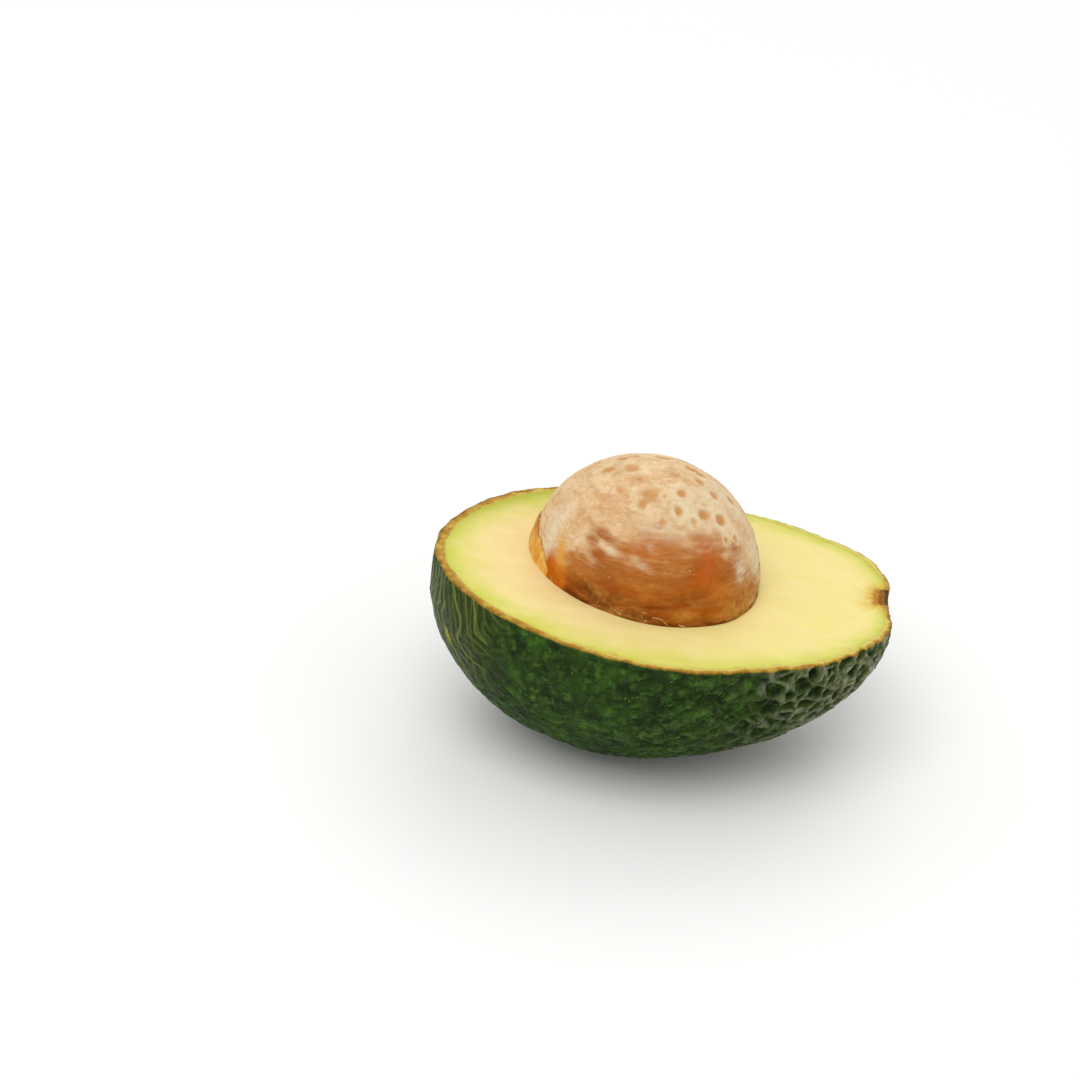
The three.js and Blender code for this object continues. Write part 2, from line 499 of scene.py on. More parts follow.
@dataclass(frozen=True)
class Pattern:
    """A natural pattern on a surface: noise drawn at a real size, as a mask.

    Attributes:
        size: width of its marks, in millimetres.
        low: the noise value where the mask is least. Above high, the mask is turned over.
        high: the noise value where the mask is most.
        stretch: how many times as long its marks are along x, y and z.
        detail: how many finer layers the noise has.
        rough: how strong the finer layers are.
        least: the mask's lowest value.
        most: the mask's highest value.
    """

    size: float
    low: float = 0.3
    high: float = 0.7
    stretch: Triple = (1, 1, 1)
    detail: float = 4.0
    rough: float = 0.6
    least: float = 0.0
    most: float = 1.0

    def mask(self, tree: Tree) -> Socket:
        """Adds the pattern's nodes.

        Args:
            tree: the tree that they join.

        Returns:
            The mask's socket.
        """
        place = add_node(tree, "ShaderNodeTexCoord").outputs["Object"]
        scale = [1 / (self.size * MM * longer) for longer in self.stretch]
        place = add_node(tree, "ShaderNodeMapping", {"Vector": place, "Scale": scale}).outputs[0]
        clouds = {"Vector": place, "Scale": 1.0, "Detail": self.detail, "Roughness": self.rough}
        value = add_node(tree, "ShaderNodeTexNoise", clouds).outputs["Fac"]
        limits = {1: self.low, 2: self.high, 3: self.least, 4: self.most}
        return add_node(tree, "ShaderNodeMapRange", {0: value, **limits}).outputs[0]


@dataclass(frozen=True)
class Strands:
    """Two families of long lines that cross each other, as a mask. The mesh numbers them by two attributes.

    Attributes:
        names: the attributes, which are whole numbers on the lines.
        width: half of a line's width, in spacings.
        faintest: how much of a full line the faintest ones show.
        draws: the random draws, of 0 to 1, at which a line is faintest and full.
    """

    names: tuple[str, str] = ("strands_a", "strands_b")
    width: float = 0.2
    faintest: float = 0.22
    draws: tuple[float, float] = (0.2, 0.65)

    def mask(self, tree: Tree) -> Socket:
        """Adds the nodes of both families.

        Args:
            tree: the tree that they join.

        Returns:
            The mask's socket.
        """
        mask: Socket | float = 0.0
        for name in self.names:
            number = add_node(tree, "ShaderNodeAttribute", attribute_name=name).outputs["Fac"]
            off = add_node(tree, "ShaderNodeMath", {0: number, 1: 0.5}, operation="PINGPONG").outputs[0]
            across = {0: off, 1: self.width, 2: 0.1 * self.width}
            line = add_node(tree, "ShaderNodeMapRange", across).outputs[0]
            nearest = add_node(tree, "ShaderNodeMath", {0: number}, operation="ROUND").outputs[0]
            draw = add_node(tree, "ShaderNodeTexWhiteNoise", {"W": nearest}, noise_dimensions="1D")
            limits = {0: draw.outputs["Value"], 1: self.draws[0], 2: self.draws[1], 3: self.faintest}
            own = add_node(tree, "ShaderNodeMapRange", limits).outputs[0]
            line = add_node(tree, "ShaderNodeMath", {0: line, 1: own}, operation="MULTIPLY").outputs[0]
            mask = add_node(tree, "ShaderNodeMath", {0: line, 1: mask}, operation="MAXIMUM").outputs[0]
        return mask


@dataclass(frozen=True)
class Layer:
    """A tint over what is below it, as far as the mesh's mask of a name and a pattern allow.

    Attributes:
        tint: its colour.
        where: the mesh's mask, or nothing for everywhere.
        pattern: the pattern, or none for an even layer.
        strength: how much it covers at most.
    """

    tint: int
    where: str = ""
    pattern: Pattern | Strands | None = None
    strength: float = 1.0

    def lay(self, tree: Tree, under: Any) -> Socket:
        """Adds the layer's nodes.

        Args:
            tree: the tree that they join.
            under: the colour below, as a value or a socket.

        Returns:
            The colour with the layer on it.
        """
        masks = [self.pattern.mask(tree)] if self.pattern else []
        if self.where:
            masks.append(add_node(tree, "ShaderNodeAttribute", attribute_name=self.where).outputs["Fac"])
        cover: Socket | float = self.strength
        for mask in masks:
            cover = add_node(tree, "ShaderNodeMath", {0: mask, 1: cover}, operation="MULTIPLY").outputs[0]
        mixed = {0: cover, 6: under, 7: linear(self.tint)}
        return add_node(tree, "ShaderNodeMix", mixed, data_type="RGBA").outputs[2]


@dataclass(frozen=True)
class Finish:
    """A material, named for what it is and how its surface came about.

    Attributes:
        name: the material's name.
        base: the colour below all layers.
        layers: the tints over it, lowest first.
        shader: the shader's even values.
        gloss: the pattern of its roughness, if that varies.
        relief: patterns of fine bumps, each with its height in metres.
    """

    name: str
    base: int
    layers: tuple[Layer, ...] = ()
    shader: tuple[tuple[str, Any], ...] = ()
    gloss: Pattern | None = None
    relief: tuple[tuple[Pattern, float], ...] = ()

    def material(self) -> bpy.types.Material:
        """Makes the finish as a material, once.

        Returns:
            The material.
        """
        found = bpy.data.materials.get(self.name)
        if found:
            return found
        made = bpy.data.materials.new(self.name)
        made.use_nodes = True
        tree = made.node_tree
        tree.nodes.clear()
        inputs = {**dict(self.shader), "Base Color": linear(self.base)}
        for layer in self.layers:
            inputs["Base Color"] = layer.lay(tree, inputs["Base Color"])
        if self.gloss:
            inputs["Roughness"] = self.gloss.mask(tree)
        for pattern, height in self.relief:
            bump = {"Strength": 1.0, "Distance": height, "Height": pattern.mask(tree)}
            if "Normal" in inputs:
                bump["Normal"] = inputs["Normal"]
            inputs["Normal"] = add_node(tree, "ShaderNodeBump", bump).outputs["Normal"]
        shader = add_node(tree, "ShaderNodeBsdfPrincipled", inputs)
        add_node(tree, "ShaderNodeOutputMaterial", {"Surface": shader.outputs["BSDF"]})
        return made

    def dress(self, obj: Object) -> None:
        """Makes this the only material of an object."""
        obj.data.materials.clear()
        obj.data.materials.append(self.material())


# Ripe avocado peel, grown: a dark green rind with mottles down to a millimetre, grey-green and corky on the
# ridges of the stem half, with olive strands down its blunt end. Its thin wax gives dull, broad highlights.
# Where the knife cut it, it has dried to tan and brown. Painted shade darkens its creases and pits, and
# partly its blunt end; painted highlights lighten its raised pads and the crests of its ridges, and painted
# yellow-green light lies in its pits.
PEEL_WAXY = Finish(
    name="avocado_peel_waxy",
    base=0x20330F,
    layers=(
        Layer(0x2C4912, pattern=Pattern(7, 0.40, 0.62, detail=5.0)),
        Layer(0x132208, pattern=Pattern(3.2, 0.50, 0.66, detail=3.0), strength=0.85),
        Layer(0x466E22, pattern=Pattern(1.8, 0.52, 0.72, detail=3.0), strength=0.85),
        # Lighter green on the raised pads: painted highlight.
        Layer(0x4A6A26, "pads", Pattern(2.0, 0.46, 0.66, detail=3.0), 0.75),
        # Darker blue-green at the blunt end: partly the rind's own tone, partly painted shade.
        Layer(0x27360E, "bluntward", Pattern(5, 0.30, 0.60, least=0.4), 0.85),
        Layer(0x676843, "ridge", Pattern(3.4, 0.36, 0.58, least=0.15), 0.95),
        # Pale grey-green on the crests of the corky ridges: painted highlight.
        Layer(0x9DA083, "crest", Pattern(1.6, 0.42, 0.64, detail=4.0), 0.8),
        # Near-black green in the creases and pits: painted shade.
        Layer(0x101C06, "hollow", strength=0.82),
        # Yellow-green patches in the pits: painted light on their lit walls.
        Layer(0x4E601C, "stem_hollow", Pattern(1.9, 0.50, 0.66, detail=2.0), 0.65),
        Layer(0x7E8434, "strand_zone", Strands(), 0.72),
        Layer(0xA39A28, "scar", Pattern(1.2, 0.35, 0.55, least=0.5)),
        Layer(0xB07E22, "cut"),
        Layer(0xD6B648, "cut", Pattern(2.8, 0.47, 0.60, detail=3.0), 0.75),
        Layer(0xCB8A30, "cut", Pattern(2.2, 0.56, 0.66, detail=3.0), 0.7),
        Layer(0x8C5C16, "cut", Pattern(0.9, 0.60, 0.72), 0.65),
        Layer(0xC6CC62, "green_cut"),
        Layer(0xDED070, "inner_cut"),
        Layer(0x66480F, "brink", Pattern(1.6, 0.38, 0.58, least=0.25), 0.85),
        Layer(0xA8701C, "stub_side", Pattern(1.2, 0.3, 0.6, least=0.55)),
    ),
    shader=(("IOR", 1.4), ("Specular IOR Level", 0.11)),
    gloss=Pattern(1.3, least=0.36, most=0.55),
    relief=((Pattern(1.7, detail=2.5), 0.36 * MM), (Pattern(0.4, detail=2.0), 0.03 * MM)),
)

# Ripe avocado flesh, cut with a knife: buttery cream with a yellow-green band by the peel and fine
# lengthwise fibres. It is moist and lets light in, so its colour is soft and its sheen weak. The fibres
# themselves are too fine to show, so they are drawn one to two millimetres wide.
FLESH_CUT = Finish(
    name="avocado_flesh_cut",
    base=0xEFDA90,
    layers=(
        Layer(0xF6E09C, pattern=Pattern(11, 0.40, 0.62, detail=3.0, rough=0.55)),
        Layer(0xECE286, "butter", Pattern(9, 0.35, 0.6, least=0.5), 0.9),
        Layer(0xECCE94, "rosy", Pattern(6, 0.35, 0.62, least=0.4), 0.9),
        Layer(0xF8E8B0, pattern=Pattern(1.1, 0.50, 0.78, stretch=(14, 2, 14), detail=3.0), strength=0.3),
        Layer(0xD9BA62, pattern=Pattern(0.9, 0.60, 0.82, stretch=(18, 1.3, 18), detail=3.0), strength=0.22),
        Layer(0xCBCF46, "band", Pattern(5, 0.3, 0.6, least=0.6)),
        Layer(0xAEB22E, "rim_green"),
        Layer(0xCDA24A, "rim_tan", Pattern(2, 0.4, 0.62, least=0.2)),
        Layer(0xDCAE32, "halo", Pattern(1.2, 0.3, 0.6, least=0.7)),
        Layer(0xA86410, "fringe", Pattern(0.8, 0.3, 0.6, least=0.7)),
    ),
    shader=(
        ("IOR", 1.4),
        ("Specular IOR Level", 0.16),
        ("Subsurface Weight", 0.12),
        ("Subsurface Scale", 1.4 * MM),
        ("Subsurface Radius", (1.0, 0.75, 0.35)),
    ),
    gloss=Pattern(0.7, stretch=(22, 1, 22), least=0.36, most=0.52),
    relief=((Pattern(0.9, stretch=(14, 1, 14), detail=3.0), 0.02 * MM),),
)

# How much longer than high the streaks round the seed are, and the short fibres of its papery layer.
STREAKS = (6, 6, 1)
FIBRES = (5, 5, 1)

# Avocado seed in its dried coat: papery and matt where the coat has dried pale, with pits and fine flakes,
# and streaked orange-brown with a dull sheen where it is still damp near the flesh.
SEED_PAPERY = Finish(
    name="avocado_seed_coat_papery",
    base=0xA2520E,
    layers=(
        Layer(0xB26A26, pattern=Pattern(5, 0.42, 0.62, detail=5.0), strength=0.7),
        Layer(0x843F06, pattern=Pattern(1.6, 0.45, 0.68, (5, 5, 1)), strength=0.55),
        Layer(0xBC7A3A, "dusty", Pattern(0.45, 0.36, 0.60, FIBRES, least=0.25)),
        Layer(0xBC5610, "red", Pattern(2, 0.3, 0.6, least=0.5)),
        Layer(0xCA7C28, "orange", Pattern(2, 0.3, 0.6, least=0.4)),
        Layer(0x622A00, "dark", Pattern(0.8, 0.34, 0.6, STREAKS, least=0.55)),
        Layer(0xCF9848, "gold", Pattern(0.9, 0.35, 0.6, least=0.3)),
        Layer(0xE0B47C, "dusty", Pattern(0.8, 0.54, 0.74, (4, 4, 1)), 0.5),
        Layer(0xDAB282, "papery"),
        Layer(0xE8C79B, "papery", Pattern(5, 0.38, 0.62, detail=5.0)),
        Layer(0xC4905A, "papery", Pattern(1.2, 0.48, 0.68, (3, 3, 1)), 0.7),
        Layer(0xEEDDBA, "papery", Pattern(0.45, 0.50, 0.68, (3, 3, 1)), 0.6),
        Layer(0xC4905A, "papery", Pattern(0.6, 0.44, 0.30), 0.45),
        Layer(0xC4834A, "tan", Pattern(1.2, 0.35, 0.6, least=0.5)),
        Layer(0xA25A22, "brown", Pattern(0.9, 0.35, 0.6, STREAKS, least=0.4)),
        Layer(0xE0D3B4, "chalk", Pattern(0.9, 0.34, 0.58, (3, 3, 1), least=0.35)),
        Layer(0xE9D6AC, "pit_rim", Pattern(0.9, 0.36, 0.6, least=0.3)),
        Layer(0xC68C4E, "pit"),
        Layer(0xDA9C3E, "amber", Pattern(0.9, 0.3, 0.6, least=0.75)),
        Layer(0xC06002, "flap", Pattern(1.0, 0.3, 0.6, least=0.7)),
    ),
    shader=(("IOR", 1.45), ("Specular IOR Level", 0.08)),
    gloss=Pattern(3, least=0.5, most=0.7),
    relief=(
        (Pattern(0.9, stretch=STREAKS), 0.08 * MM),
        (Pattern(0.5, stretch=(2, 2, 1), detail=3.0), 0.12 * MM),
    ),
)

# A scrap of the same coat, torn off and dried: thin, amber where light comes through, browner at its tip.
COAT_TORN = Finish(
    name="seed_coat_scrap_dry",
    base=0xDD9B34,
    layers=(
        Layer(0xEABB66, pattern=Pattern(2.4, 0.42, 0.60, detail=2.0), strength=0.85),
        Layer(0xC47A18, pattern=Pattern(1.8, 0.52, 0.68, (1, 1, 2), detail=3.0), strength=0.7),
        Layer(0xA95E12, "tip", Pattern(1.5, 0.3, 0.55, least=0.5)),
    ),
    shader=(("Roughness", 0.55), ("Specular IOR Level", 0.2)),
    relief=((Pattern(1.2, stretch=(1, 1, 2), detail=2.0), 0.12 * MM),),
)

# Dry stalk wood, cut with the fruit: weathered grey-brown at its end, with a pale ring, brown inside and
# amber at the flesh. It is rough, so it is matt.
STALK_WOODY = Finish(
    name="stalk_stub_woody",
    base=0x503E20,
    layers=(
        Layer(0xA57C4C, "pale_ring", Pattern(0.6, 0.34, 0.58, least=0.3)),
        Layer(0x9A5A14, "core", Pattern(0.6, 0.3, 0.6, least=0.6)),
        Layer(0xCB8E30, "amber"),
    ),
    shader=(("Roughness", 0.75), ("Specular IOR Level", 0.12)),
    relief=((Pattern(0.5, stretch=(4, 1, 4)), 0.2 * MM),),
)

# Corky breathing spots of the peel: dry and matt, paler green than the rind.
CORK = Finish(
    name="peel_lenticel_cork",
    base=0x3A5A1F,
    layers=(Layer(0x66803C, pattern=Pattern(3, 0.45, 0.7)),),
    shader=(("Roughness", 0.7), ("Specular IOR Level", 0.15)),
)

# Loose flakes of the dried seed coat: thin as paper, matt.
COAT_FLAKE = Finish(
    name="seed_coat_flake_papery",
    base=0xD2A26C,
    layers=(Layer(0xBE8850, pattern=Pattern(2.5, 0.42, 0.6)),),
    shader=(("Roughness", 0.8), ("Specular IOR Level", 0.1)),
)

# Fibres of flesh that stuck to the seed: pale, fine as hair.
FIBRE_PALE = Finish(
    name="flesh_fibre_pale",
    base=0xE3B872,
    layers=(Layer(0xF2DCA2, pattern=Pattern(3, 0.42, 0.6)),),
    shader=(("Roughness", 0.5), ("Specular IOR Level", 0.2)),
)

# Fibres that run from the stalk into the flesh: amber, drying brown.
FIBRE_AMBER = Finish(
    name="flesh_fibre_amber",
    base=0xE4BC4E,
    layers=(Layer(0xD29A34, pattern=Pattern(2, 0.45, 0.62)),),
    shader=(("Roughness", 0.55), ("Specular IOR Level", 0.2)),
)

# Matt white studio card.
CARD_WHITE = Finish(
    name="studio_card_white",
    base=0xFAFAF8,
    shader=(("Roughness", 0.9), ("Specular IOR Level", 0.1)),
)


# ---- Sub-assemblies ----


@dataclass
class Peel:
    """The peel: a pitted outer face with low ridges, the ragged edge that the knife left, and its lining.

    Places along the fruit are shares of half its length, from -1 at the blunt end to 1 at the stem end.

    Attributes:
        thickness: width of the cut edge on the whole.
        least_edge: its least width.
        edge_crown: height of its soft crown, in millimetres.
        edge_tuck: how far it runs on under the flesh, in its own widths.
        rings: rings of the outer face.
        edge_rings: rings across the cut edge.
        lining_rings: rings of the hidden inner face.
        lining_depth: how far the inner face lies inside the skin.
        lining_top: how far below the cut face it ends.
        pad_size: width of the leathery pads.
        pad_stretch: how much longer than wide they are.
        pad_height: depth of the creases between them.
        slant: how far they lean from the fruit's length.
        pit_size: width of the cells that the pits lie in.
        pit_depth: depth of the pits.
        bumps: height of the small bumps.
        swell: height of the wide swells.
        stem_rise: how far the pitted half stands out.
        lift: how far the whole outer face stands out.
        stem_half: where the pitted half begins and is full.
        corky: where the ridges begin to be corky and are fully so.
        blunt_end: where the smoother blunt end begins and is full.
        calm_depth: how far below the cut the relief is full.
        stem_calm: radius of the smoother skin round the stalk.
        rim_waves: height of the waves of the rim.
        rim_fade: how far down they reach.
        strand_reach: where the strands begin and are full.
        strand_count: how many strands of a family fit in half a turn.
        strand_bend: length of one bend of a strand.
        strand_sway: how far it bends aside, in spacings.
        strand_start: the place that the strands fan out from.
        scar_place: the place of the yellow scar.
        scar_size: its half sizes, in millimetres.
        finish: its finish.
    """

    thickness: float = 1.35 * MM
    least_edge: float = 1.15 * MM
    edge_crown: float = 0.12
    edge_tuck: float = 1.25
    rings: int = 168
    edge_rings: int = 6
    lining_rings: int = 16
    lining_depth: float = 1.9 * MM
    lining_top: float = 1.4 * MM
    pad_size: float = 4.4 * MM
    pad_stretch: float = 1.7
    pad_height: float = 0.8 * MM
    slant: float = math.radians(24)
    pit_size: float = 3.2 * MM
    pit_depth: float = 1.15 * MM
    bumps: float = 0.2 * MM
    swell: float = 0.3 * MM
    stem_rise: float = 0.3 * MM
    lift: float = 0.1 * MM
    stem_half: tuple[float, float] = (0.0, 0.46)
    corky: tuple[float, float] = (0.1, 0.78)
    blunt_end: tuple[float, float] = (-0.66, -0.86)
    calm_depth: float = 2.2 * MM
    stem_calm: float = 6.5 * MM
    rim_waves: float = 0.42 * MM
    rim_fade: float = 2.5 * MM
    strand_reach: tuple[float, float] = (-0.7, -0.84)
    strand_count: float = 36.0
    strand_bend: float = 12 * MM
    strand_sway: float = 0.6
    strand_start: Triple = (-47.0 * MM, -6.0 * MM, 16.0 * MM)
    scar_place: Triple = (-43.0 * MM, -10.3 * MM, -13.3 * MM)
    scar_size: Triple = (1.5, 1.25, 2.1)
    finish: Finish = PEEL_WAXY

    def pads(self, points: Array) -> Array:
        """How far the leathery pads of the rind stand above the winding creases between them.

        Args:
            points: places on the smooth skin.

        Returns:
            0 in a crease to 1 on a pad.
        """
        c, s = math.cos(self.slant), math.sin(self.slant)
        x, y, z = points.T
        lean = np.column_stack([(x * c + z * s) / self.pad_stretch, y, z * c - x * s])
        lean += 0.5 * MM * mottle(points, 2 * MM, 31.0, 2)[:, None]
        wide = np.abs(mottle(lean, self.pad_size, 21.0, 2))
        fine = np.abs(mottle(lean, 0.75 * self.pad_size, 22.0, 2))
        return np.clip(np.minimum(wide, fine) / 0.24, 0, 1) ** 0.65

    def pits(self, points: Array) -> Array:
        """Where the round pits of the stem half are.

        Args:
            points: places on the smooth skin.

        Returns:
            1 in a pit, 0 on the ridges and on the few flat tops among them.
        """
        bend = 0.9 * MM * mottle(points, 3.2 * MM, 32.0, 3)[:, None] * [1, 0.6, -0.8]
        bent = points * [0.85, 1, 1] + bend
        inside = natural_cells(bent, self.pit_size, 33.0)
        flat_tops = smoothstep(-0.2, 0.1, mottle(points, 5 * MM, 34.0, 1) + 0.3)
        return smoothstep(0.07, 0.34, inside) * flat_tops

    @staticmethod
    def sway(points: Array, bends: Array, seed: float) -> Array:
        """How far strands sway aside on their way, unevenly.

        Args:
            points: places on the smooth skin.
            bends: how many bends they are from the strands' start.
            seed: any number, a different one for each family.

        Returns:
            About -1 to 1 at each point.
        """
        late = 0.4 * mottle(points, 9 * MM, seed + 1, 1)
        return (1 + 0.9 * mottle(points, 9 * MM, seed, 1)) * np.sin((bends + late) * TURN)

    def strands(self, points: Array) -> Values:
        """The two families of strands that fan out down the blunt end.

        Args:
            points: places on the smooth skin.

        Returns:
            The running number of each family, whole on a strand, and how well the strands show.
        """
        away = points - np.array(self.strand_start)
        around = np.arctan2(-away[:, 2], away[:, 1]) / math.pi * self.strand_count
        around += 0.5 * mottle(points, 12 * MM, 35.0, 2)
        bends = np.linalg.norm(away, axis=1) / self.strand_bend
        return {
            "strands_a": around + self.strand_sway * self.sway(points, bends, 36.0),
            "strands_b": 0.86 * around - self.strand_sway * self.sway(points, bends * 0.77, 41.0),
            "strand_zone": smoothstep(0.5, 0.0, mottle(points, 8 * MM, 38.0, 2)),
        }

    def outer_ring(self, theta: Array, share: float) -> Ring:
        """One ring of the outer face.

        Args:
            theta: angles of its points from the stem end.
            share: 0 at the bottom to 1 at the cut.

        Returns:
            The ring, with the masks of the finish.
        """
        down = share * QUARTER
        smooth = BODY.smooth(theta, down)
        along = smooth[:, 0] / BODY.half_length
        stemward = smoothstep(*self.stem_half, along + 0.12 * mottle(smooth, 9 * MM, 27.0, 2))
        bluntward = smoothstep(*self.blunt_end, along + 0.08 * mottle(smooth, 7 * MM, 28.0, 2))
        pads = self.pads(smooth)
        creases = (1 - pads) * (1 - 0.8 * stemward) * (0.5 + 0.5 * smoothstep(-0.45, 0.05, along))
        pits = np.where(stemward > 0, self.pits(smooth), 0)
        crest = np.where(stemward > 0, 1 - smoothstep(0.02, 0.3, pits), 0)
        height = -self.pad_height * creases * (1 - 0.7 * bluntward) - self.pit_depth * pits * stemward
        height += self.bumps * mottle(smooth, 2.4 * MM, 26.0, 3) * (1 - 0.6 * bluntward)
        height += self.swell * mottle(smooth, 8 * MM, 2.0, 2) + self.stem_rise * stemward + self.lift
        strands = self.strands(smooth)
        corky = smoothstep(*self.corky, along + 0.2 * mottle(smooth, 5 * MM, 39.0, 3))
        low_down = -smooth[:, 2]
        least = 0.22 + 0.3 * stemward * smoothstep(-0.15, -0.5, np.sin(theta))
        calm = least + (1 - least) * smoothstep(0, self.calm_depth, low_down)
        height = height * calm * (1 - 0.9 * BODY.near_stem(smooth, self.stem_calm))
        waves = self.rim_waves * (1 - 0.85 * smoothstep(0.6, 0.85, along))
        height += waves * mottle(smooth * [1, 1, 0.2], 6 * MM, 29.0, 2) * np.exp(-low_down / self.rim_fade)
        points = smooth + BODY.outward(theta, down) * height[:, None]
        if share == 1:
            points[:, 2] = 0
        low = BODY.rest_centre @ BODY.up - points @ BODY.up
        points += np.maximum(low, 0)[:, None] * BODY.up
        scar = np.linalg.norm((smooth - self.scar_place) / self.scar_size, axis=1) / MM
        scar *= 1 + 0.35 * mottle(smooth, 1.5 * MM, 25.0, 2)
        values = {
            # Where painted shade darkens the creases and pits.
            "hollow": np.maximum(creases**2, pits * stemward),
            # Where painted light lies in the pits.
            "stem_hollow": pits * stemward,
            # Where the painted highlight on the raised pads goes.
            "pads": pads * (1 - stemward) * (1 - bluntward) * (0.35 + 0.65 * smoothstep(-0.5, 0.2, along)),
            "ridge": corky * (1 - pits) ** 1.5,
            # Where the painted highlight on the ridge crests goes.
            "crest": corky * crest,
            # Also where the blunt end is darkened, partly with painted shade.
            "bluntward": bluntward,
            **strands,
            "strand_zone": strands["strand_zone"] * smoothstep(*self.strand_reach, along),
            "scar": np.exp(-(scar**4)) * 0.85,
            "lenticels": (1 - stemward) * (1 - bluntward) * pads * smoothstep(0.5, 0.62, share),
            "cut": np.full(len(theta), 0.5 if share == 1 else 0.0),
            "stub_side": 0.7 * BODY.near_stem(smooth, 2.8 * MM),
        }
        return Ring(points, {name: np.broadcast_to(value, theta.shape) for name, value in values.items()})

    def edge_width(self, theta: Array, rim: Ring) -> Array:
        """Width of the cut edge: broad at the blunt end, thin at the far side, ragged all round.

        Args:
            theta: angles from the stem end.
            rim: the outer face's last ring.

        Returns:
            The width at each angle.
        """
        blunt = 0.55 * np.exp(-(((theta - math.pi) / 0.8) ** 2))
        far = -0.35 * smoothstep(0.3, 0.9, np.sin(theta + 0.3))
        ragged = 0.22 * mottle(rim.points, 4 * MM, 5.0, 2) + 0.15 * mottle(rim.points, 1.2 * MM, 6.0, 2)
        return np.maximum(self.thickness * (1 + blunt + far + ragged), self.least_edge)

    def edge_ring(self, theta: Array, rim: Ring, wide: Array, share: float) -> Ring:
        """One ring across the cut edge.

        Args:
            theta: angles of its points from the stem end.
            rim: the outer face's last ring.
            wide: the edge's width at each angle.
            share: 0 at the rim to 1 at the flesh, and more under the flesh.

        Returns:
            The ring, with the masks of the finish.
        """
        inner = BODY.shifted(theta, QUARTER, -wide)
        points = rim.points + (inner - rim.points) * share
        crown = self.edge_crown * math.sin(math.pi * min(share, 1))
        points[:, 2] = (crown - 0.6 * max(share - 0.95, 0)) * MM
        points[:, 2] += 0.06 * MM * mottle(points, 1.4 * MM, 8.0, 2) * max(1 - share, 0)
        far_right = smoothstep(0.1, 0.5, np.sin(theta)) * smoothstep(-0.1, 0.45, np.cos(theta))
        uneven = mottle(points, 1.6 * MM, 9.0, 2)
        beside_stub = BODY.near_stem(points, 6.0 * MM)
        blunt = smoothstep(-0.55, -0.9, np.cos(theta))
        front = np.exp(-(((theta - 4.4) / 0.8) ** 2))
        inward = share + 0.3 * uneven + 0.25 * smoothstep(0.3, 1, np.cos(theta)) + 0.22 * front
        pale = smoothstep(0.55, 0.95, inward)
        values = {
            "cut": np.ones(len(theta)),
            "inner_cut": pale * (0.9 - 0.65 * blunt) * (1 - 0.8 * beside_stub),
            "green_cut": far_right * smoothstep(0.05, 0.35, share + 0.15 * uneven) * (1 - beside_stub),
            "brink": smoothstep(0.4, 0.1, share + 0.15 * uneven) * (0.4 + 0.6 * blunt - 0.15 * front),
            "stub_side": beside_stub,
        }
        return Ring(points, values)

    def build(self) -> Object:
        """Builds the peel and dresses it.

        Returns:
            The peel, at rest.
        """
        angles = disc_angles(self.rings)
        rings = [self.outer_ring(theta, share) for theta, share in angles]
        theta, rim = angles[-1][0], rings[-1]
        wide = self.edge_width(theta, rim)
        shares = [*(np.arange(self.edge_rings) + 1) / self.edge_rings, self.edge_tuck]
        rings += [self.edge_ring(theta, rim, wide, share) for share in shares]
        inner = disc_angles(self.lining_rings)
        lining = [Ring(BODY.shifted(t, s * QUARTER, -self.lining_depth)) for t, s in inner]
        lining[-1].points[:, 2] = -self.lining_top
        peel = loft(Piece.PEEL, BODY.lay(rings + lining[::-1]))
        self.finish.dress(peel)
        return peel


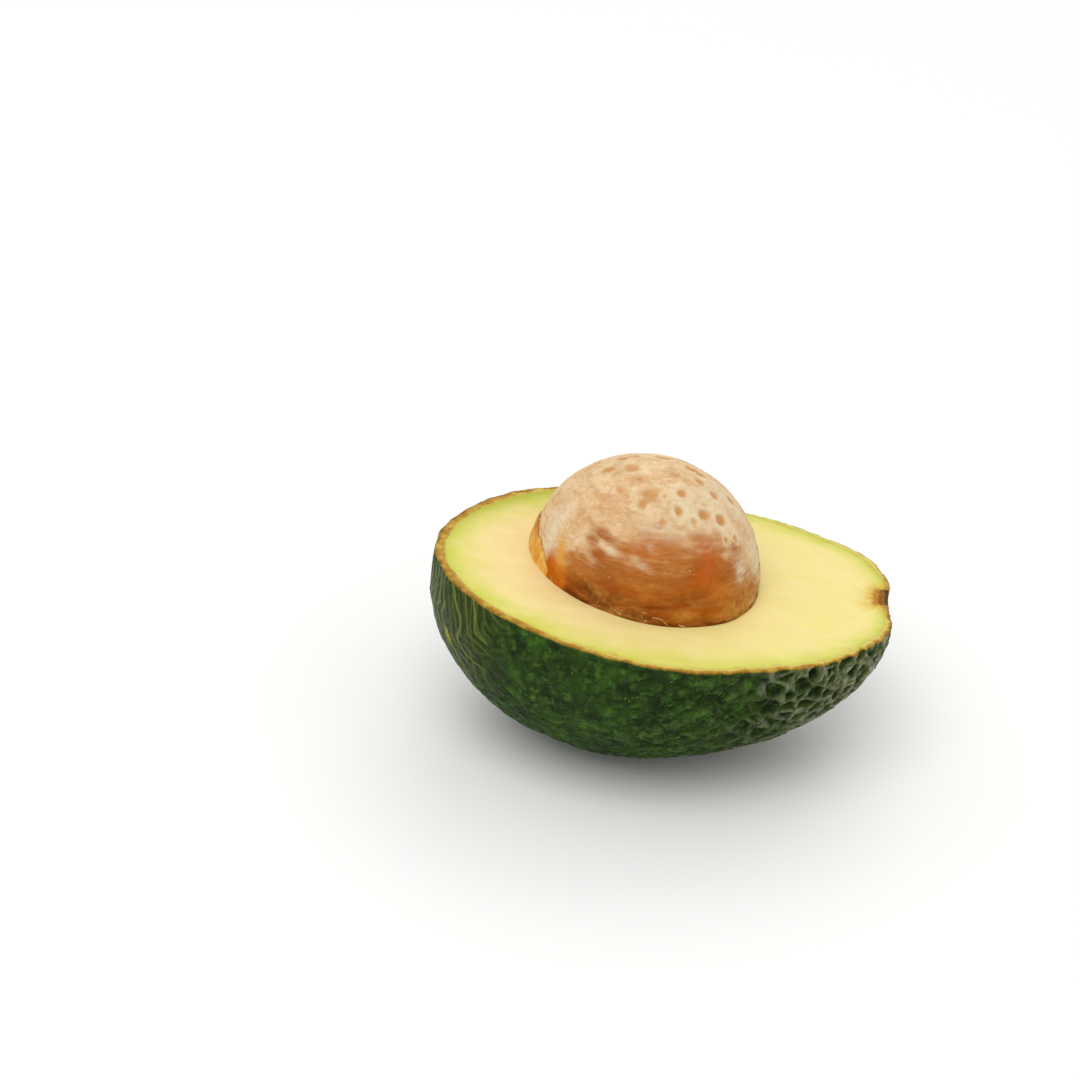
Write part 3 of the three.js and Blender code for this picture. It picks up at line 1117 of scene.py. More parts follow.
@dataclass
class Pulp:
    """The flesh: the cut face with its soft edges, the bowl under the stone and the side under the peel.

    Attributes:
        face_rings: rings of the cut face.
        around: points in each of them.
        side_rings: rings of the hidden side.
        bowl_rings: rings of the hidden bowl.
        even_share: how evenly the rings of the cut face are spaced. The rest crowds them at its edges.
        reach: how far inside the skin the cut face begins.
        side_depth: how far inside the skin the side lies.
        side_top: how far below the cut face the side ends.
        lip: radius of the soft lip round the stone.
        gap: how far out of the stone the bowl's edge lies.
        bowl_ease: how much further out the bowl lies.
        waves: height of the knife's waves on the cut face.
        band: least width of the green band, in millimetres.
        wider_bands: where the band is wider: the angle, by how many millimetres, over what angle.
        stub_reach: how far the stalk's stub reaches into the cut face.
        stub_half: half of the stub's width.
        stub_slant: how far it leans.
        finish: its finish.
    """

    face_rings: int = 84
    around: int = 480
    side_rings: int = 14
    bowl_rings: int = 14
    even_share: float = 0.6
    reach: float = 1.0 * MM
    side_depth: float = 1.7 * MM
    side_top: float = 0.8 * MM
    lip: float = 0.3 * MM
    gap: float = -0.12 * MM
    bowl_ease: float = 0.1 * MM
    waves: float = 0.1 * MM
    band: float = 2.3
    wider_bands: tuple[Triple, ...] = (
        (math.pi, 4.0, 0.75),
        (2.2, 3.2, 0.5),
        (0.8, 2.6, 0.6),
        (4.25, 2.6, 0.4),
        (4.95, 2.7, 0.45),
        (5.6, 1.5, 0.3),
    )
    stub_reach: float = 3.3 * MM
    stub_half: float = 2.6 * MM
    stub_slant: float = STUB_SLANT
    finish: Finish = FLESH_CUT

    def band_width(self, theta: Array) -> Array:
        """Width of the yellow-green band beside the peel at angles from the stem end."""
        wider = sum(more * np.exp(-(((theta - at) / span) ** 2)) for at, more, span in self.wider_bands)
        return (self.band + wider) * MM

    def face_ring(self, theta: Array, share: float) -> Ring:
        """One ring of the cut face.

        Args:
            theta: angles of its points from the stem end.
            share: 0 at the peel to 1 at the bowl's edge.

        Returns:
            The ring, with the masks of the finish.
        """
        edge = BODY.shifted(theta, QUARTER, -self.reach)
        bowl = STONE.beside(theta, 0.0, self.gap)
        points = edge + (bowl - edge) * share
        span = np.linalg.norm(bowl - edge, axis=1)
        skin, stone = span * share, span * (1 - share)
        rounding = np.clip(1 - stone / self.lip, 0, 1)
        points[:, 2] -= self.lip * (1 - np.sqrt(1 - rounding**2 * 0.96))
        waves = self.waves * mottle(points * [1, 3, 1], 12 * MM, 3.0, 2)
        points[:, 2] += waves * smoothstep(0, 3 * MM, skin)
        return Ring(points, self.face_values(theta, points, skin, stone))

    def face_values(self, theta: Array, points: Array, skin: Array, stone: Array) -> Values:
        """The colour masks of the cut face.

        Args:
            theta: the angles of the ring's points.
            points: the points.
            skin: their distances from the peel.
            stone: their distances from the stone.

        Returns:
            The masks by name.
        """
        ragged = 1 + 0.35 * mottle(points, 6 * MM, 4.0, 3)
        wide = self.band_width(theta) * ragged
        back_left = np.exp(-(((theta - 2.4) / 0.7) ** 2))
        front = np.exp(-(((theta - 4.9) / 0.9) ** 2))
        stub = points[:, :2] - [BODY.stem_end[0] - self.stub_reach, 0.0]
        stub[:, 0] -= self.stub_slant * points[:, 1]
        aside = np.maximum(np.abs(stub[:, 1]) - self.stub_half, 0)
        away = np.linalg.norm(np.column_stack([np.minimum(stub[:, 0], 0), aside]), axis=1)
        bearing = np.arctan2(stub[:, 1], -stub[:, 0] + 2.5 * MM)
        bent = bearing * 15 + 3 * np.sin(bearing * 5) + 4 * mottle(points, 3 * MM, 11.0, 1)
        rays = 0.5 + 0.5 * np.sin(bent)
        blunt_side = smoothstep(0.1, -0.9, np.cos(theta))
        blotches = np.maximum(1.5 * mottle(points, 3 * MM, 13.0, 2), 0)
        return {
            "band": np.exp(-((skin / wide) ** 2)) * (1 - 0.15 * front),
            "rim_green": np.exp(-((skin / ((1.1 + 2.2 * back_left) * MM)) ** 2)) * (0.35 + 0.6 * back_left),
            "rim_tan": np.exp(-((skin / ((0.55 + blotches) * MM)) ** 2)) * 0.85,
            "rosy": np.exp(-((stone / (9 * MM)) ** 2)) * (0.2 + 0.65 * blunt_side),
            "halo": np.exp(-((away / ((2.0 + 1.3 * rays) * MM)) ** 2)) * (0.85 + 0.15 * rays),
            "fringe": np.exp(-((away / ((0.7 + 0.3 * rays) * MM)) ** 2)),
            "butter": smoothstep(-0.3, 0.9, np.cos(theta)) * 0.6 + 0.35 * front,
        }

    def build(self) -> Object:
        """Builds the flesh and dresses it.

        Returns:
            The flesh, at rest.
        """
        theta = np.arange(self.around) / self.around * TURN
        outer = disc_angles(self.side_rings)
        side = [Ring(BODY.shifted(t, s * QUARTER, -self.side_depth)) for t, s in outer]
        side[-1].points[:, 2] = -self.side_top
        crowded = (1 - np.cos(np.linspace(0, math.pi, self.face_rings))) / 2
        even = np.linspace(0, 1, self.face_rings)
        shares = self.even_share * even + (1 - self.even_share) * crowded
        face = [self.face_ring(theta, share) for share in shares]
        below = disc_angles(self.bowl_rings)
        bowl = [Ring(STONE.surface(t, s * QUARTER, self.gap + self.bowl_ease)) for t, s in below]
        pulp = loft(Piece.PULP, BODY.lay(side + face + bowl[::-1]))
        self.finish.dress(pulp)
        return pulp


@dataclass(frozen=True)
class Stain:
    """A soft-edged mark on the seed.

    Attributes:
        mask: the mask that it belongs to.
        turn: its place round the seed, in degrees from the stem end.
        rise: its height over the seed's middle, in degrees.
        wide: half its width, in degrees.
        high: half its height, in degrees.
        strength: how strong it is in its middle.
        slope: how far it rises for each degree round.
    """

    mask: str
    turn: float
    rise: float
    wide: float
    high: float
    strength: float
    slope: float = 0.0

    def drawn(self, bearing: Array, rise: Array, wavy: Array) -> Array:
        """The stain's mask.

        Args:
            bearing: places round the seed, in degrees.
            rise: their heights, in degrees.
            wavy: about 1, and more or less where the edge is to run in or out.

        Returns:
            The mask at each place.
        """
        around = ((bearing - self.turn + 180) % 360 - 180) * math.cos(math.radians(self.rise))
        above = rise - self.rise - self.slope * around
        return self.strength * np.exp(-((around / self.wide) ** 2 + (above / self.high) ** 2) * wavy)


def stain_rows(mask: str, *rows: tuple[float, ...]) -> tuple[Stain, ...]:
    """The stains of one mask, from rows of place, half sizes, strength and slope."""
    return tuple(Stain(mask, *row) for row in rows)


@dataclass(frozen=True)
class Pit:
    """A shallow pit in the seed's papery coat.

    Attributes:
        turn: its place round the seed, in degrees from the stem end.
        rise: its height over the seed's middle, in degrees.
        width: its width, in millimetres.
        depth: how deep it is beside the others. Deeper pits are also browner and have a paler rim.
    """

    turn: float
    rise: float
    width: float
    depth: float


@dataclass
class Seed:
    """The seed, with its dry coat: papery patches, pits, stains and a streaked flank.

    Attributes:
        upper_rings: rings of the upper half.
        lower_rings: rings of the lower half, which is hidden.
        pits: the pits of the near side.
        hidden_pits: how many more the far side has.
        pit_draw: fixes the random draw of their places.
        stains: the marks in its colour.
        paper_edge: the height of the papery coat's edge round the seed, in degrees.
        swell: height of the wide swells.
        coat: thickness of the papery coat.
        streaks: height of the streaks round the flank.
        folds: height of the upright folds at its stem side.
        scales: height of the fine scales.
        flap: thickness of the amber flaps.
        scrap_turn: where the torn scrap stands, in degrees.
        tuck: how far the seed lies back under the scrap.
        finish: its finish.
    """

    upper_rings: int = 124
    lower_rings: int = 24
    swell: float = 0.22 * MM
    coat: float = 0.14 * MM
    streaks: float = 0.1 * MM
    folds: float = 0.12 * MM
    scales: float = 0.05 * MM
    flap: float = 0.16 * MM
    scrap_turn: float = 170
    tuck: float = 0.03 * MM
    pits: tuple[Pit, ...] = (
        Pit(-120, 66, 3.2, 0.12),
        Pit(-122, 59, 1.7, 0.2),
        Pit(-103, 68, 1.0, 0.1),
        Pit(-87, 60, 1.7, 0.26),
        Pit(-77, 71, 2.2, 0.22),
        Pit(-101, 53, 1.4, 0.08),
        Pit(-74, 55, 1.3, 0.1),
        Pit(-60, 58, 2.5, 0.28),
        Pit(-45, 53, 2.2, 0.3),
        Pit(-18, 73, 1.9, 0.14),
        Pit(-26, 64, 2.0, 0.18),
        Pit(-50, 43, 1.1, 0.2),
        Pit(-40, 42, 1.1, 0.2),
        Pit(14, 71, 2.0, 0.2),
        Pit(-8, 54, 2.4, 0.16),
        Pit(175, 72, 3.0, 0.1),
    )
    stains: tuple[Stain, ...] = (
        *stain_rows(
            "tan",
            (-147, 71, 5, 4.4, 1.0), (-147, 60, 8, 2.4, 0.7, -0.3), (-153, 53, 7, 3, 0.7, 0.4),
            (-122, 64, 7, 4.5, 0.8), (166, 65, 8, 1.8, 0.8), (-65, 84, 4, 2.2, 0.5), (-11, 81, 4, 2, 0.5),
            (-124, 47, 3.5, 2, 0.5), (-100, 48, 36, 11, 0.5), (-95, 46, 3.5, 2.2, 0.7),
            (60, 60, 6, 4, 0.6), (110, 45, 8, 3, 0.6),
        ),
        *stain_rows(
            "brown",
            (-136, 37, 6.5, 3, 1.4, -0.1), (-139, 33, 4, 3.5, 1.2), (-133, 27, 5, 3, 1.2),
            (-129, 20, 8, 3.5, 1.0, -0.2), (-120, 25, 6, 3, 1.0), (-141, 15, 4, 4.5, 0.9),
            (-44, 38, 5, 4, 0.9), (40, 40, 6, 3, 0.7),
        ),
        *stain_rows(
            "chalk",
            (-167, 18, 5.5, 8, 1.3), (-171, 28, 6, 8, 1.0), (-127, 32, 5, 2.4, 0.6, -0.25),
            (-109, 30, 5, 1.8, 0.45, -0.15), (-62, 60, 22, 13, 0.6), (-100, 50, 16, 6, 0.5),
            (-45, 27, 4.5, 6, 0.85), (-22, 25, 8, 10, 1.1), (-12, 54, 10, 14, 0.8), (140, 16, 16, 7, 0.5),
        ),
        *stain_rows(
            "dusty",
            (-109, 30, 9, 2.6, 1.1, -0.15), (-93, 29, 10, 2.6, 1.0), (-48, 22, 8, 6, 0.9),
        ),
        *stain_rows(
            "red",
            (-65, 49, 4.5, 6, 0.8), (-67, 38, 5, 8, 0.95), (-73, 28, 6, 5, 0.95), (-104, 38, 7, 4, 0.5),
            (85, 20, 9, 6, 0.7),
        ),
        *stain_rows(
            "orange",
            (-60, 18, 9, 6, 0.8), (-80, 8, 9, 3, 0.7), (-62, 9, 8, 3, 0.6), (20, 15, 12, 6, 0.6),
        ),
        *stain_rows(
            "dark",
            (-101, 11, 12, 1.1, 1.0, 0.13), (-82, 16, 4, 2, 0.7), (-126, 8, 14, 4, 1.1, -0.15),
            (-104, 6, 13, 3, 1.1), (-116, 12, 6, 2.5, 1.0), (-136, 3, 5, 4, 1.1),
            (-130, 22, 8, 3, 0.5, -0.2),
        ),
        *stain_rows(
            "amber",
            (-152.5, 15, 5.2, 5, 1.8, -1.3),
        ),
        *stain_rows(
            "flap",
            (-156, 9, 4.5, 5, 1.6, -0.6), (-149, 6, 4.2, 6, 1.4),
        ),
    )
    hidden_pits: int = 22
    pit_draw: int = 5
    paper_edge: tuple[tuple[float, float], ...] = (
        (-180, 10),
        (-165, 8),
        (-156, 14),
        (-148, 25),
        (-138, 31),
        (-125, 38),
        (-105, 42),
        (-84, 48),
        (-66, 54),
        (-54, 43),
        (-45, 36),
        (-36, 20),
        (-18, 17),
        (0, 28),
        (60, 35),
        (120, 26),
        (180, 10),
    )
    finish: Finish = SEED_PAPERY

    def all_pits(self) -> list[Pit]:
        """Adds seeded pits on the far side to the placed ones.

        Returns:
            All the pits.
        """
        chance = np.random.default_rng(self.pit_draw)
        more = []
        for _ in range(self.hidden_pits):
            turn = 20 + 150 * chance.random()
            rise = 25 + 50 * chance.random()
            more.append(Pit(turn, rise, 1.4 + 0.9 * chance.random(), 0.2 + 0.2 * chance.random()))
        return [*self.pits, *more]

    @staticmethod
    def pit_masks(ball: Array, pits: list[Pit]) -> tuple[Array, Array, Array]:
        """Draws the pits.

        Args:
            ball: points of a round stone.
            pits: the pits.

        Returns:
            At each point the depth in metres, the colour's mask and the mask of the pale rims.
        """
        depth, mask, rim = (np.zeros(len(ball)) for _ in range(3))
        wavy = 1 + 0.4 * mottle(ball, 1.6 * MM, 14.0, 3)
        for pit in pits:
            turn, rise = math.radians(pit.turn), math.radians(pit.rise)
            flat = math.cos(rise)
            centre = np.array([flat * math.cos(turn), flat * math.sin(turn), math.sin(rise)])
            away = np.linalg.norm(ball - centre * STONE.radii[0], axis=1) / (pit.width * MM / 2) * wavy
            depth = np.maximum(depth, 1.6 * pit.depth * MM * np.exp(-(away**3)))
            mask = np.maximum(mask, np.exp(-(away**5)) * (0.55 + 1.5 * pit.depth))
            rim = np.maximum(rim, np.exp(-(((away - 1.9) / 0.7) ** 2)) * min(pit.depth * 5, 1))
        return depth, mask, rim

    def surface_ring(self, turn: Array, down: float, pits: list[Pit]) -> Ring:
        """One ring of the seed.

        Args:
            turn: angles of its points.
            down: 0 at the seed's bottom and a half turn at its top.
            pits: all the pits.

        Returns:
            The ring, with its relief and the masks of the finish.
        """
        ways = STONE.ways(turn, down)
        ball = ways * STONE.radii[0]
        rise = np.degrees(np.arcsin(np.clip(ways[:, 2], -1, 1)))
        bearing = np.degrees(np.arctan2(ways[:, 1], ways[:, 0]))
        rough = mottle(ball, 6 * MM, 1.0, 4)
        streaky = mottle(ball * [0.35, 0.35, 1.1], 1.8 * MM, 6.0, 4)
        folds = mottle(ball * [1, 1, 0.22], 1.5 * MM, 7.0, 2)
        flaky = mottle(ball * [0.6, 0.6, 1.2], 1.3 * MM, 8.0, 3)
        bearings, edges = zip(*self.paper_edge)
        level = rise - np.interp(bearing, bearings, edges) + 11 * rough + 9 * streaky
        papery = smoothstep(-8, 9, level)
        pit_depth, pit, pit_rim = self.pit_masks(ball, pits)
        waist = smoothstep(26, 12, rise)
        right = np.exp(-(((bearing + 37) / 16) ** 2))
        values = {
            "papery": papery * 0.95,
            "dusty": smoothstep(-28, -4, level) * 0.85,
            "dark": smoothstep(9, 1, rise + 5 * streaky) * 0.95,
            "gold": waist * np.clip(0.8 * right * (1 + 1.2 * folds) + 0.12 + 0.6 * streaky, 0, 1) * 0.85,
            "pit": np.clip(pit, 0, 0.95),
            "pit_rim": pit_rim * (0.65 + 0.5 * rough),
            "flakes": np.exp(-(((level + 7) / 10) ** 2)),
            "edge_fibres": np.exp(-(((rise - 5) / 3) ** 2) - ((bearing + 108) / 22) ** 2),
        }
        wavy = 1 + 0.6 * flaky + 0.5 * rough
        for stain in self.stains:
            values[stain.mask] = np.maximum(values.get(stain.mask, 0), stain.drawn(bearing, rise, wavy))
        grow = self.swell * mottle(ball, 12 * MM, 9.0, 2) + self.coat * papery - pit_depth
        lines = self.streaks * streaky * (1 + waist) + self.folds * folds * waist * right
        grow += lines + self.scales * flaky
        grow += self.flap * np.maximum(values["flap"], values["amber"])
        from_scrap = np.abs(bearing % 360 - self.scrap_turn)
        under_scrap = smoothstep(42, 34, from_scrap) * smoothstep(26, 19, rise)
        grow = grow * (1 - under_scrap) - self.tuck * under_scrap
        masks = {name: np.clip(value, 0, 1) for name, value in values.items()}
        return Ring(STONE.surface(turn, down, grow), masks)

    def build(self) -> Object:
        """Builds the seed and dresses it.

        Returns:
            The seed, at rest.
        """
        pits = self.all_pits()
        lower = [Ring(STONE.surface(t, s * QUARTER)) for t, s in disc_angles(self.lower_rings)]
        above = disc_angles(self.upper_rings)
        upper = [self.surface_ring(t, math.pi - s * QUARTER, pits) for t, s in above]
        seed = loft(Piece.SEED, BODY.lay(lower[:-1] + upper[::-1]))
        self.finish.dress(seed)
        return seed


@dataclass
class CoatScrap:
    """The torn crescent of seed coat that stands at the blunt end, between seed and flesh.

    Attributes:
        start: where it begins round the seed.
        end: where it ends.
        below: how far it reaches below the cut face.
        above: how far it stands above the cut face.
        thickness: its thickness at its foot.
        curl: how far its upper edge curls away from the seed.
        clearance: how far it stands off the smooth stone.
        along: sections along it.
        across: points up each side of a section.
        finish: its finish.
    """

    start: float = math.radians(136)
    end: float = math.radians(203)
    below: float = 1.5 * MM
    above: float = 5.7 * MM
    thickness: float = 0.3 * MM
    curl: float = 0.08 * MM
    clearance: float = -0.05 * MM
    along: int = 150
    across: int = 22
    finish: Finish = COAT_TORN

    def section(self, share: float) -> Ring:
        """One section of the scrap.

        Args:
            share: 0 at its start to 1 at its end.

        Returns:
            A closed loop round the section, with the mask of its brown tip.
        """
        turn = self.start + (self.end - self.start) * share
        full = max(math.sin(math.pi * min(share * 0.92 + 0.03, 1)), 0.0) ** 0.7
        torn = 0.88 + 0.06 * math.sin(share * 17) + 0.03 * math.sin(share * 43 + 1)
        low, high = -self.below * full, self.above * full * torn
        rise = np.linspace(low, high, self.across)
        up = (rise - low) / max(high - low, 1e-6)
        lean = self.clearance + self.curl * up**2 * (0.6 + 0.4 * math.sin(share * 19))
        turns = np.full(self.across, turn)
        inner = STONE.beside(turns, rise, lean)
        outer = STONE.beside(turns, rise, lean + self.thickness * (1 - 0.6 * up))
        tip = smoothstep(0.45, 1.0, up) * smoothstep(0.75, 0.45, share) + 0.6 * smoothstep(0.93, 1, up)
        tip = np.clip(tip, 0, 1)
        return Ring(np.concatenate([inner, outer[::-1]]), {"tip": np.concatenate([tip, tip[::-1]])})

    def build(self) -> Object:
        """Builds the scrap and dresses it.

        Returns:
            The scrap, at rest.
        """
        shares = (np.arange(self.along) + 0.5) / self.along
        rings = [self.section(share) for share in shares]
        first, last = rings[0].points.mean(0)[None], rings[-1].points.mean(0)[None]
        scrap = loft(Piece.COAT, BODY.lay([Ring(first), *rings, Ring(last)]))
        self.finish.dress(scrap)
        return scrap


@dataclass
class StalkStub:
    """Half of the woody stub of the stalk, cut with the fruit. Its dry end is slanted and a little proud.

    Attributes:
        length: how far it reaches into the flesh.
        radius: its radius.
        slant: how far its dry end leans, as a slope.
        recess: how far the dry end stands back in the fruit's pit.
        proud: how far its cut side stands over the cut face.
        stations: sections along it.
        around: points round the buried half of a section.
        across: points across its cut side.
        inner_dome: how far its hidden end swells.
        outer_dome: how far its dry end swells.
        finish: its finish.
    """

    length: float = 2.4 * MM
    radius: float = 3.6 * MM
    slant: float = STUB_SLANT
    recess: float = 0.15 * MM
    proud: float = 0.22 * MM
    stations: int = 30
    around: int = 64
    across: int = 40
    inner_dome: float = 0.3 * MM
    outer_dome: float = 0.15 * MM
    finish: Finish = STALK_WOODY

    def section(self, share: float) -> Ring:
        """One section of the stub.

        Args:
            share: 0 inside the flesh to 1 at the dry end.

        Returns:
            A closed half-round loop, with the masks of the finish.
        """
        end = BODY.stem_end[0] - BODY.pit_depth - self.recess
        r = self.radius * (0.35 + 0.65 * math.sin(QUARTER * min(share * 1.5, 1)))
        turn = math.pi + np.arange(self.around) / (self.around - 1) * math.pi
        y = np.concatenate([r * np.cos(turn), np.linspace(r, -r, self.across)[1:-1]])
        z = np.concatenate([r * np.sin(turn), np.zeros(self.across - 2)])
        x = end - self.length * (1 - share) + self.slant * y
        points = np.column_stack([x, y, z])
        knots = mottle(points, 0.9 * MM, 12.0, 3)
        edge = smoothstep(1, 0.75, np.abs(y) / r) * smoothstep(0, 0.3, share)
        points[:, 2] += self.proud * edge + 0.12 * MM * knots * edge
        points[:, 0] += 0.18 * MM * knots * share
        inward = (1 - share) * self.length / MM + 0.35 * knots
        values = {
            "pale_ring": np.exp(-(((inward - 0.9) / 0.28) ** 2)),
            "core": smoothstep(0.95, 1.3, inward),
            "amber": smoothstep(1.5, 2.3, inward) * 0.7,
        }
        return Ring(points, values)

    def build(self) -> Object:
        """Builds the stub and dresses it.

        Returns:
            The stub, at rest.
        """
        rings = [self.section(s) for s in np.linspace(0, 1, self.stations)]
        inner = Ring(rings[0].points.mean(0)[None] - [self.inner_dome, 0, 0])
        outer = Ring(rings[-1].points.mean(0)[None] + [self.outer_dome, 0, 0])
        stub = loft(Piece.STUB, BODY.lay([inner, *rings, outer]))
        self.finish.dress(stub)
        return stub


# ---- What is scattered, by Geometry Nodes ----


class Grain(Enum):
    """The shape of a scattered thing, as the node that makes it."""

    BEAD = "GeometryNodeMeshIcoSphere"
    FLAKE = "GeometryNodeMeshCylinder"
    HAIR = "GeometryNodeMeshCone"


@dataclass
class Scatter:
    """Small things scattered over part of a surface.

    Attributes:
        piece: which piece it makes.
        grain: the shape of one.
        mask: the host's attribute that says where they are.
        density: how many on a square metre where the mask is 1.
        size: their smallest and largest scale.
        seed: fixes the random draw.
        lean: how far one leans from the surface's normal, least and most, in radians.
        finish: their finish.
    """

    piece: Piece
    grain: Grain
    mask: str
    density: float
    size: tuple[float, float]
    seed: int
    lean: tuple[float, float]
    finish: Finish

    def inputs(self) -> dict[str, float | int]:
        """The node tree's named inputs with their values, whole numbers where the tree reads whole numbers.

        Returns:
            The values by name.
        """
        return {
            "Density": self.density,
            "Smallest": self.size[0],
            "Largest": self.size[1],
            "Least lean": self.lean[0],
            "Most lean": self.lean[1],
            "Seed": self.seed,
        }

    def shape(self, tree: Tree) -> Socket:
        """Adds the nodes that make one, about a millimetre across.

        Args:
            tree: the tree that they join.

        Returns:
            The mesh's socket.
        """
        ends = {"Radius Top": 0.01 * MM, "Radius Bottom": 0.06 * MM, "Depth": 1 * MM}
        inputs, squash = {
            Grain.BEAD: ({"Radius": 0.5 * MM, "Subdivisions": 1}, (1, 1, 0.35)),
            Grain.FLAKE: ({"Vertices": 7, "Radius": 0.5 * MM, "Depth": 0.06 * MM}, (1, 0.6, 1)),
            Grain.HAIR: ({"Vertices": 5, "Side Segments": 4, **ends}, (1, 1, 1)),
        }[self.grain]
        made = add_node(tree, self.grain.value, inputs).outputs["Mesh"]
        return add_node(tree, "GeometryNodeTransform", {"Geometry": made, "Scale": squash}).outputs[0]

    def tree(self) -> Tree:
        """Builds the node tree, with named inputs for density, sizes, lean and seed.

        Returns:
            The tree.
        """
        tree = bpy.data.node_groups.new(self.piece.value, "GeometryNodeTree")
        tree.interface.new_socket("Geometry", in_out="INPUT", socket_type="NodeSocketGeometry")
        for name, value in self.inputs().items():
            kind = "NodeSocketInt" if isinstance(value, int) else "NodeSocketFloat"
            tree.interface.new_socket(name, in_out="INPUT", socket_type=kind)
        tree.interface.new_socket("Geometry", in_out="OUTPUT", socket_type="NodeSocketGeometry")
        given = tree.nodes.new("NodeGroupInput").outputs
        seed = {"Seed": given["Seed"]}
        named = {"Name": self.mask}
        mask = add_node(tree, "GeometryNodeInputNamedAttribute", named, data_type="FLOAT").outputs[0]
        shares = {0: mask, 1: given["Density"]}
        density = add_node(tree, "ShaderNodeMath", shares, operation="MULTIPLY").outputs[0]
        spots = {"Mesh": given["Geometry"], "Density": density, **seed}
        spread = add_node(tree, "GeometryNodeDistributePointsOnFaces", spots).outputs
        sizes = {2: given["Smallest"], 3: given["Largest"], **seed}
        scale = add_node(tree, "FunctionNodeRandomValue", sizes).outputs[1]
        low = add_node(tree, "ShaderNodeCombineXYZ", {0: given["Least lean"], 2: 0.0}).outputs[0]
        high = add_node(tree, "ShaderNodeCombineXYZ", {0: given["Most lean"], 2: TURN}).outputs[0]
        leans = {0: low, 1: high, **seed}
        spin = add_node(tree, "FunctionNodeRandomValue", leans, data_type="FLOAT_VECTOR").outputs[0]
        lean = add_node(tree, "FunctionNodeEulerToRotation", {0: spin}).outputs[0]
        turns = {0: spread["Rotation"], 1: lean}
        turn = add_node(tree, "FunctionNodeRotateRotation", turns, rotation_space="LOCAL").outputs[0]
        parts = {"Points": spread["Points"], "Instance": self.shape(tree), "Rotation": turn, "Scale": scale}
        placed = add_node(tree, "GeometryNodeInstanceOnPoints", parts).outputs[0]
        real = add_node(tree, "GeometryNodeRealizeInstances", {0: placed}).outputs[0]
        dressed = {"Geometry": real, "Material": self.finish.material()}
        done = add_node(tree, "GeometryNodeSetMaterial", dressed).outputs[0]
        add_node(tree, "NodeGroupOutput", {0: done})
        return tree

    def build(self, host: Object) -> Object:
        """Scatters over a host, as one plain mesh.

        Args:
            host: the object whose surface carries them.

        Returns:
            The new piece, at rest.
        """
        carrier = add_object("carrier", host.data.copy())
        modifier = carrier.modifiers.new("scatter", "NODES")
        modifier.node_group = self.tree()
        values = self.inputs()
        for item in modifier.node_group.interface.items_tree:
            if item.in_out == "INPUT" and item.name in values:
                modifier[item.identifier] = values[item.name]
        seen = carrier.evaluated_get(bpy.context.evaluated_depsgraph_get())
        mesh = bpy.data.meshes.new_from_object(seen)
        mesh.name = self.piece.value
        mesh.shade_smooth()
        carrier.modifiers.remove(modifier)
        bpy.data.objects.remove(carrier)
        return add_object(self.piece.value, mesh)


LENTICELS = Scatter(
    Piece.SPECKS,
    Grain.BEAD,
    "lenticels",
    density=1.3e5,
    size=(0.2, 0.5),
    seed=3,
    lean=(0.0, 0.2),
    finish=CORK,
)
FLAKES = Scatter(
    Piece.FLAKES,
    Grain.FLAKE,
    "flakes",
    density=0.9e5,
    size=(0.2, 0.5),
    seed=4,
    lean=(0.0, 0.12),
    finish=COAT_FLAKE,
)
SEED_FIBRES = Scatter(
    Piece.SEED_FIBRES,
    Grain.HAIR,
    "edge_fibres",
    density=4.0e5,
    size=(0.6, 1.8),
    seed=8,
    lean=(1.3, 1.6),
    finish=FIBRE_PALE,
)
STUB_FIBRES = Scatter(
    Piece.STUB_FIBRES,
    Grain.HAIR,
    "fringe",
    density=1.6e6,
    size=(0.5, 1.4),
    seed=6,
    lean=(1.35, 1.6),
    finish=FIBRE_AMBER,
)


# ---- Studio ----


@dataclass(frozen=True)
class Softbox:
    """A square soft light that faces the fruit: its name, place, side in metres and power in watts."""

    name: str
    place: Triple
    side: float
    power: float


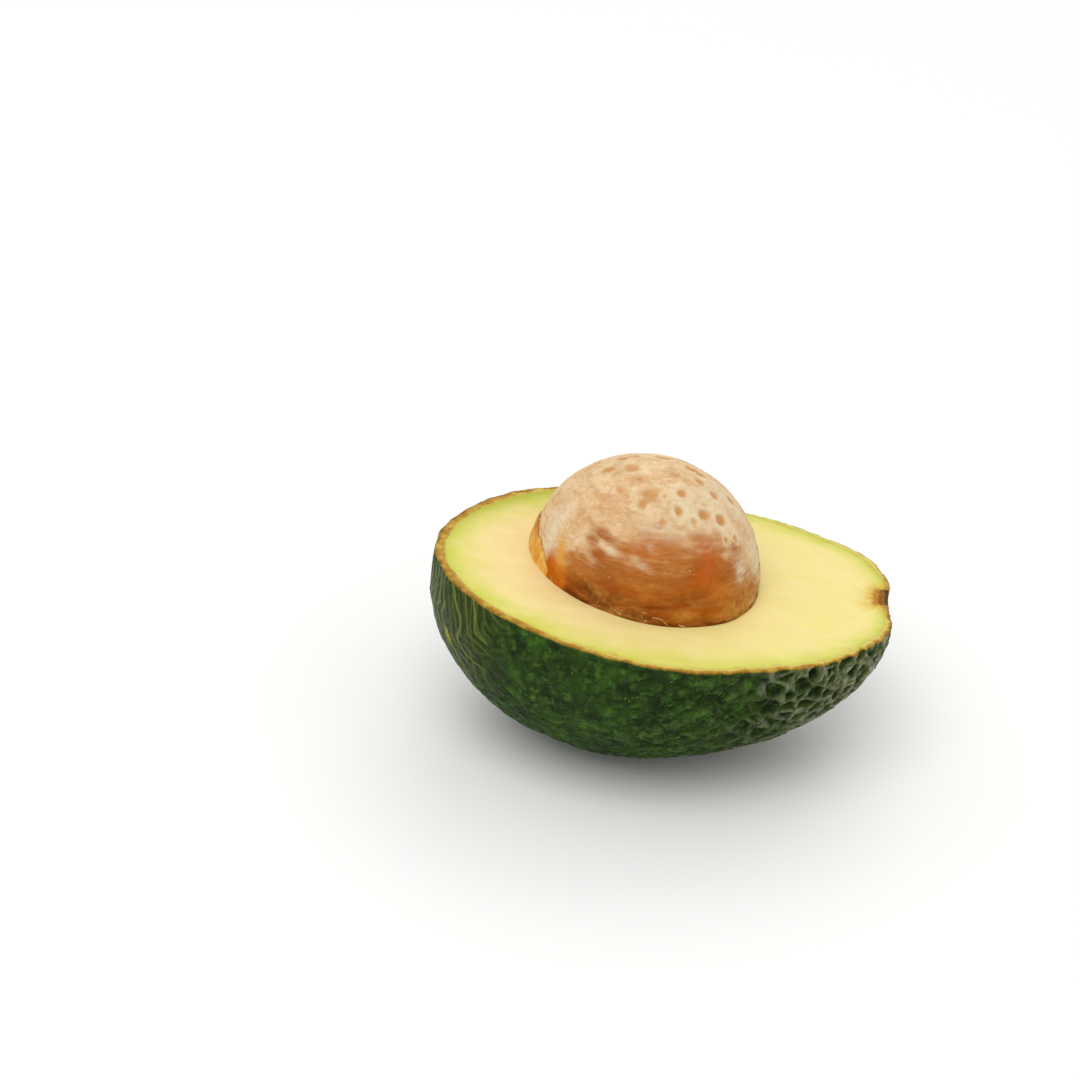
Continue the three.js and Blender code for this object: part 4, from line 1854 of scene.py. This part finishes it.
@dataclass
class Studio:
    """The floor, the soft light and the camera.

    Attributes:
        azimuth: where the camera stands round the fruit, from the front.
        elevation: how high it stands, as an angle.
        distance: how far it is from the middle of the cut face.
        roll: how far it is rolled.
        focal_pixels: its focal length, in pixels of the view.
        sensor: width of its sensor, in millimetres.
        nearest: the nearest distance that it sees.
        aim_pixel: the pixel of the view at which the middle of the cut face stands.
        floor_side: side of the floor card.
        lamps: the soft lights.
        air: strength of the even white light from all round.
        finish: the floor's finish.
    """

    azimuth: float = math.radians(-14.62)
    elevation: float = math.radians(28.49)
    distance: float = 547.4 * MM
    roll: float = math.radians(8.9)
    focal_pixels: float = 2790.0
    sensor: float = 36
    nearest: float = 0.01
    aim_pixel: tuple[float, float] = (668.0, 573.8)
    floor_side: float = 6.0
    lamps: tuple[Softbox, ...] = (
        Softbox("top_softbox", (-0.5, -0.7, 1.35), 1.2, 10.6),
        Softbox("back_softbox", (0.5, 1.2, 1.2), 1.2, 4.5),
    )
    air: float = 0.72
    finish: Finish = CARD_WHITE

    def floor(self) -> Object:
        """Makes the floor card.

        Returns:
            The floor.
        """
        half = self.floor_side / 2
        corners = [(-half, -half, 0), (half, -half, 0), (half, half, 0), (-half, half, 0)]
        mesh = bpy.data.meshes.new("studio_floor")
        mesh.from_pydata(corners, [], [(0, 1, 2, 3)])
        floor = add_object("studio_floor", mesh)
        self.finish.dress(floor)
        return floor

    def camera(self) -> None:
        """Sets up the camera, aimed so that the middle of the cut face stands at its pixel."""
        target = BODY.rest_matrix() @ Vector((0, 0, 0))
        flat, tall = math.cos(self.elevation), math.sin(self.elevation)
        back = Vector((math.sin(self.azimuth) * flat, -math.cos(self.azimuth) * flat, tall))
        turn = back.to_track_quat("Z", "Y").to_matrix() @ Matrix.Rotation(self.roll, 3, "Z")
        x, y = self.aim_pixel[0] - VIEW_SIDE / 2, self.aim_pixel[1] - VIEW_SIDE / 2
        aside = Vector((x, -y, -self.focal_pixels)).normalized()
        turn = turn @ aside.rotation_difference(Vector((0, 0, -1))).to_matrix()
        data = bpy.data.cameras.new("camera")
        data.sensor_width = self.sensor
        data.lens = data.sensor_width * self.focal_pixels / VIEW_SIDE
        data.clip_start = self.nearest
        camera = add_object("camera", data)
        camera.matrix_world = Matrix.Translation(target + back * self.distance) @ turn.to_4x4()
        bpy.context.scene.camera = camera

    @staticmethod
    def light(box: Softbox) -> None:
        """Sets up a soft light.

        Args:
            box: the light's sizes and place.
        """
        data = bpy.data.lights.new(box.name, "AREA")
        data.shape = "SQUARE"
        data.size = box.side
        data.energy = box.power
        lamp = add_object(box.name, data)
        lamp.location = box.place
        lamp.rotation_euler = Vector(box.place).to_track_quat("Z", "Y").to_euler()

    def build(self) -> None:
        """Builds the studio and sets the plain colour response."""
        self.floor()
        self.camera()
        for box in self.lamps:
            self.light(box)
        world = bpy.data.worlds.new("studio_air")
        world.use_nodes = True
        air = world.node_tree.nodes["Background"].inputs
        air["Color"].default_value = (1, 1, 1, 1)
        air["Strength"].default_value = self.air
        bpy.context.scene.world = world
        bpy.context.scene.view_settings.view_transform = "Standard"


# ---- The whole ----


def place_piece(obj: Object, slot: str, *nodes: str) -> None:
    """Rides a piece on the part's one body and hides the part's nodes that it replaces.

    Args:
        obj: the piece.
        slot: not used.
        nodes: the part's nodes that it replaces, if any.
    """
    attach(obj, "root")
    if nodes:
        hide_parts(*nodes)
    log.info("%s: %d vertices", obj.name, len(obj.data.vertices))


def main() -> None:
    """Builds every piece over the frame, in order."""
    logging.basicConfig(level=logging.INFO, format="%(name)s: %(message)s")
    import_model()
    Studio().build()
    peel = Peel().build()
    pulp = Pulp().build()
    seed = Seed().build()
    place_piece(peel, "skin", "skin")
    place_piece(pulp, "flesh", "flesh")
    place_piece(seed, "stone", "stone")
    place_piece(CoatScrap().build(), "seed_coat", "seed_coat")
    place_piece(StalkStub().build(), "stem_stub", "stem_stub")
    for scatter, host, slot in (
        (LENTICELS, peel, "skin"),
        (FLAKES, seed, "stone"),
        (SEED_FIBRES, seed, "flesh"),
        (STUB_FIBRES, pulp, "flesh"),
    ):
        place_piece(scatter.build(host), slot)


if __name__ == "__main__":
    main()
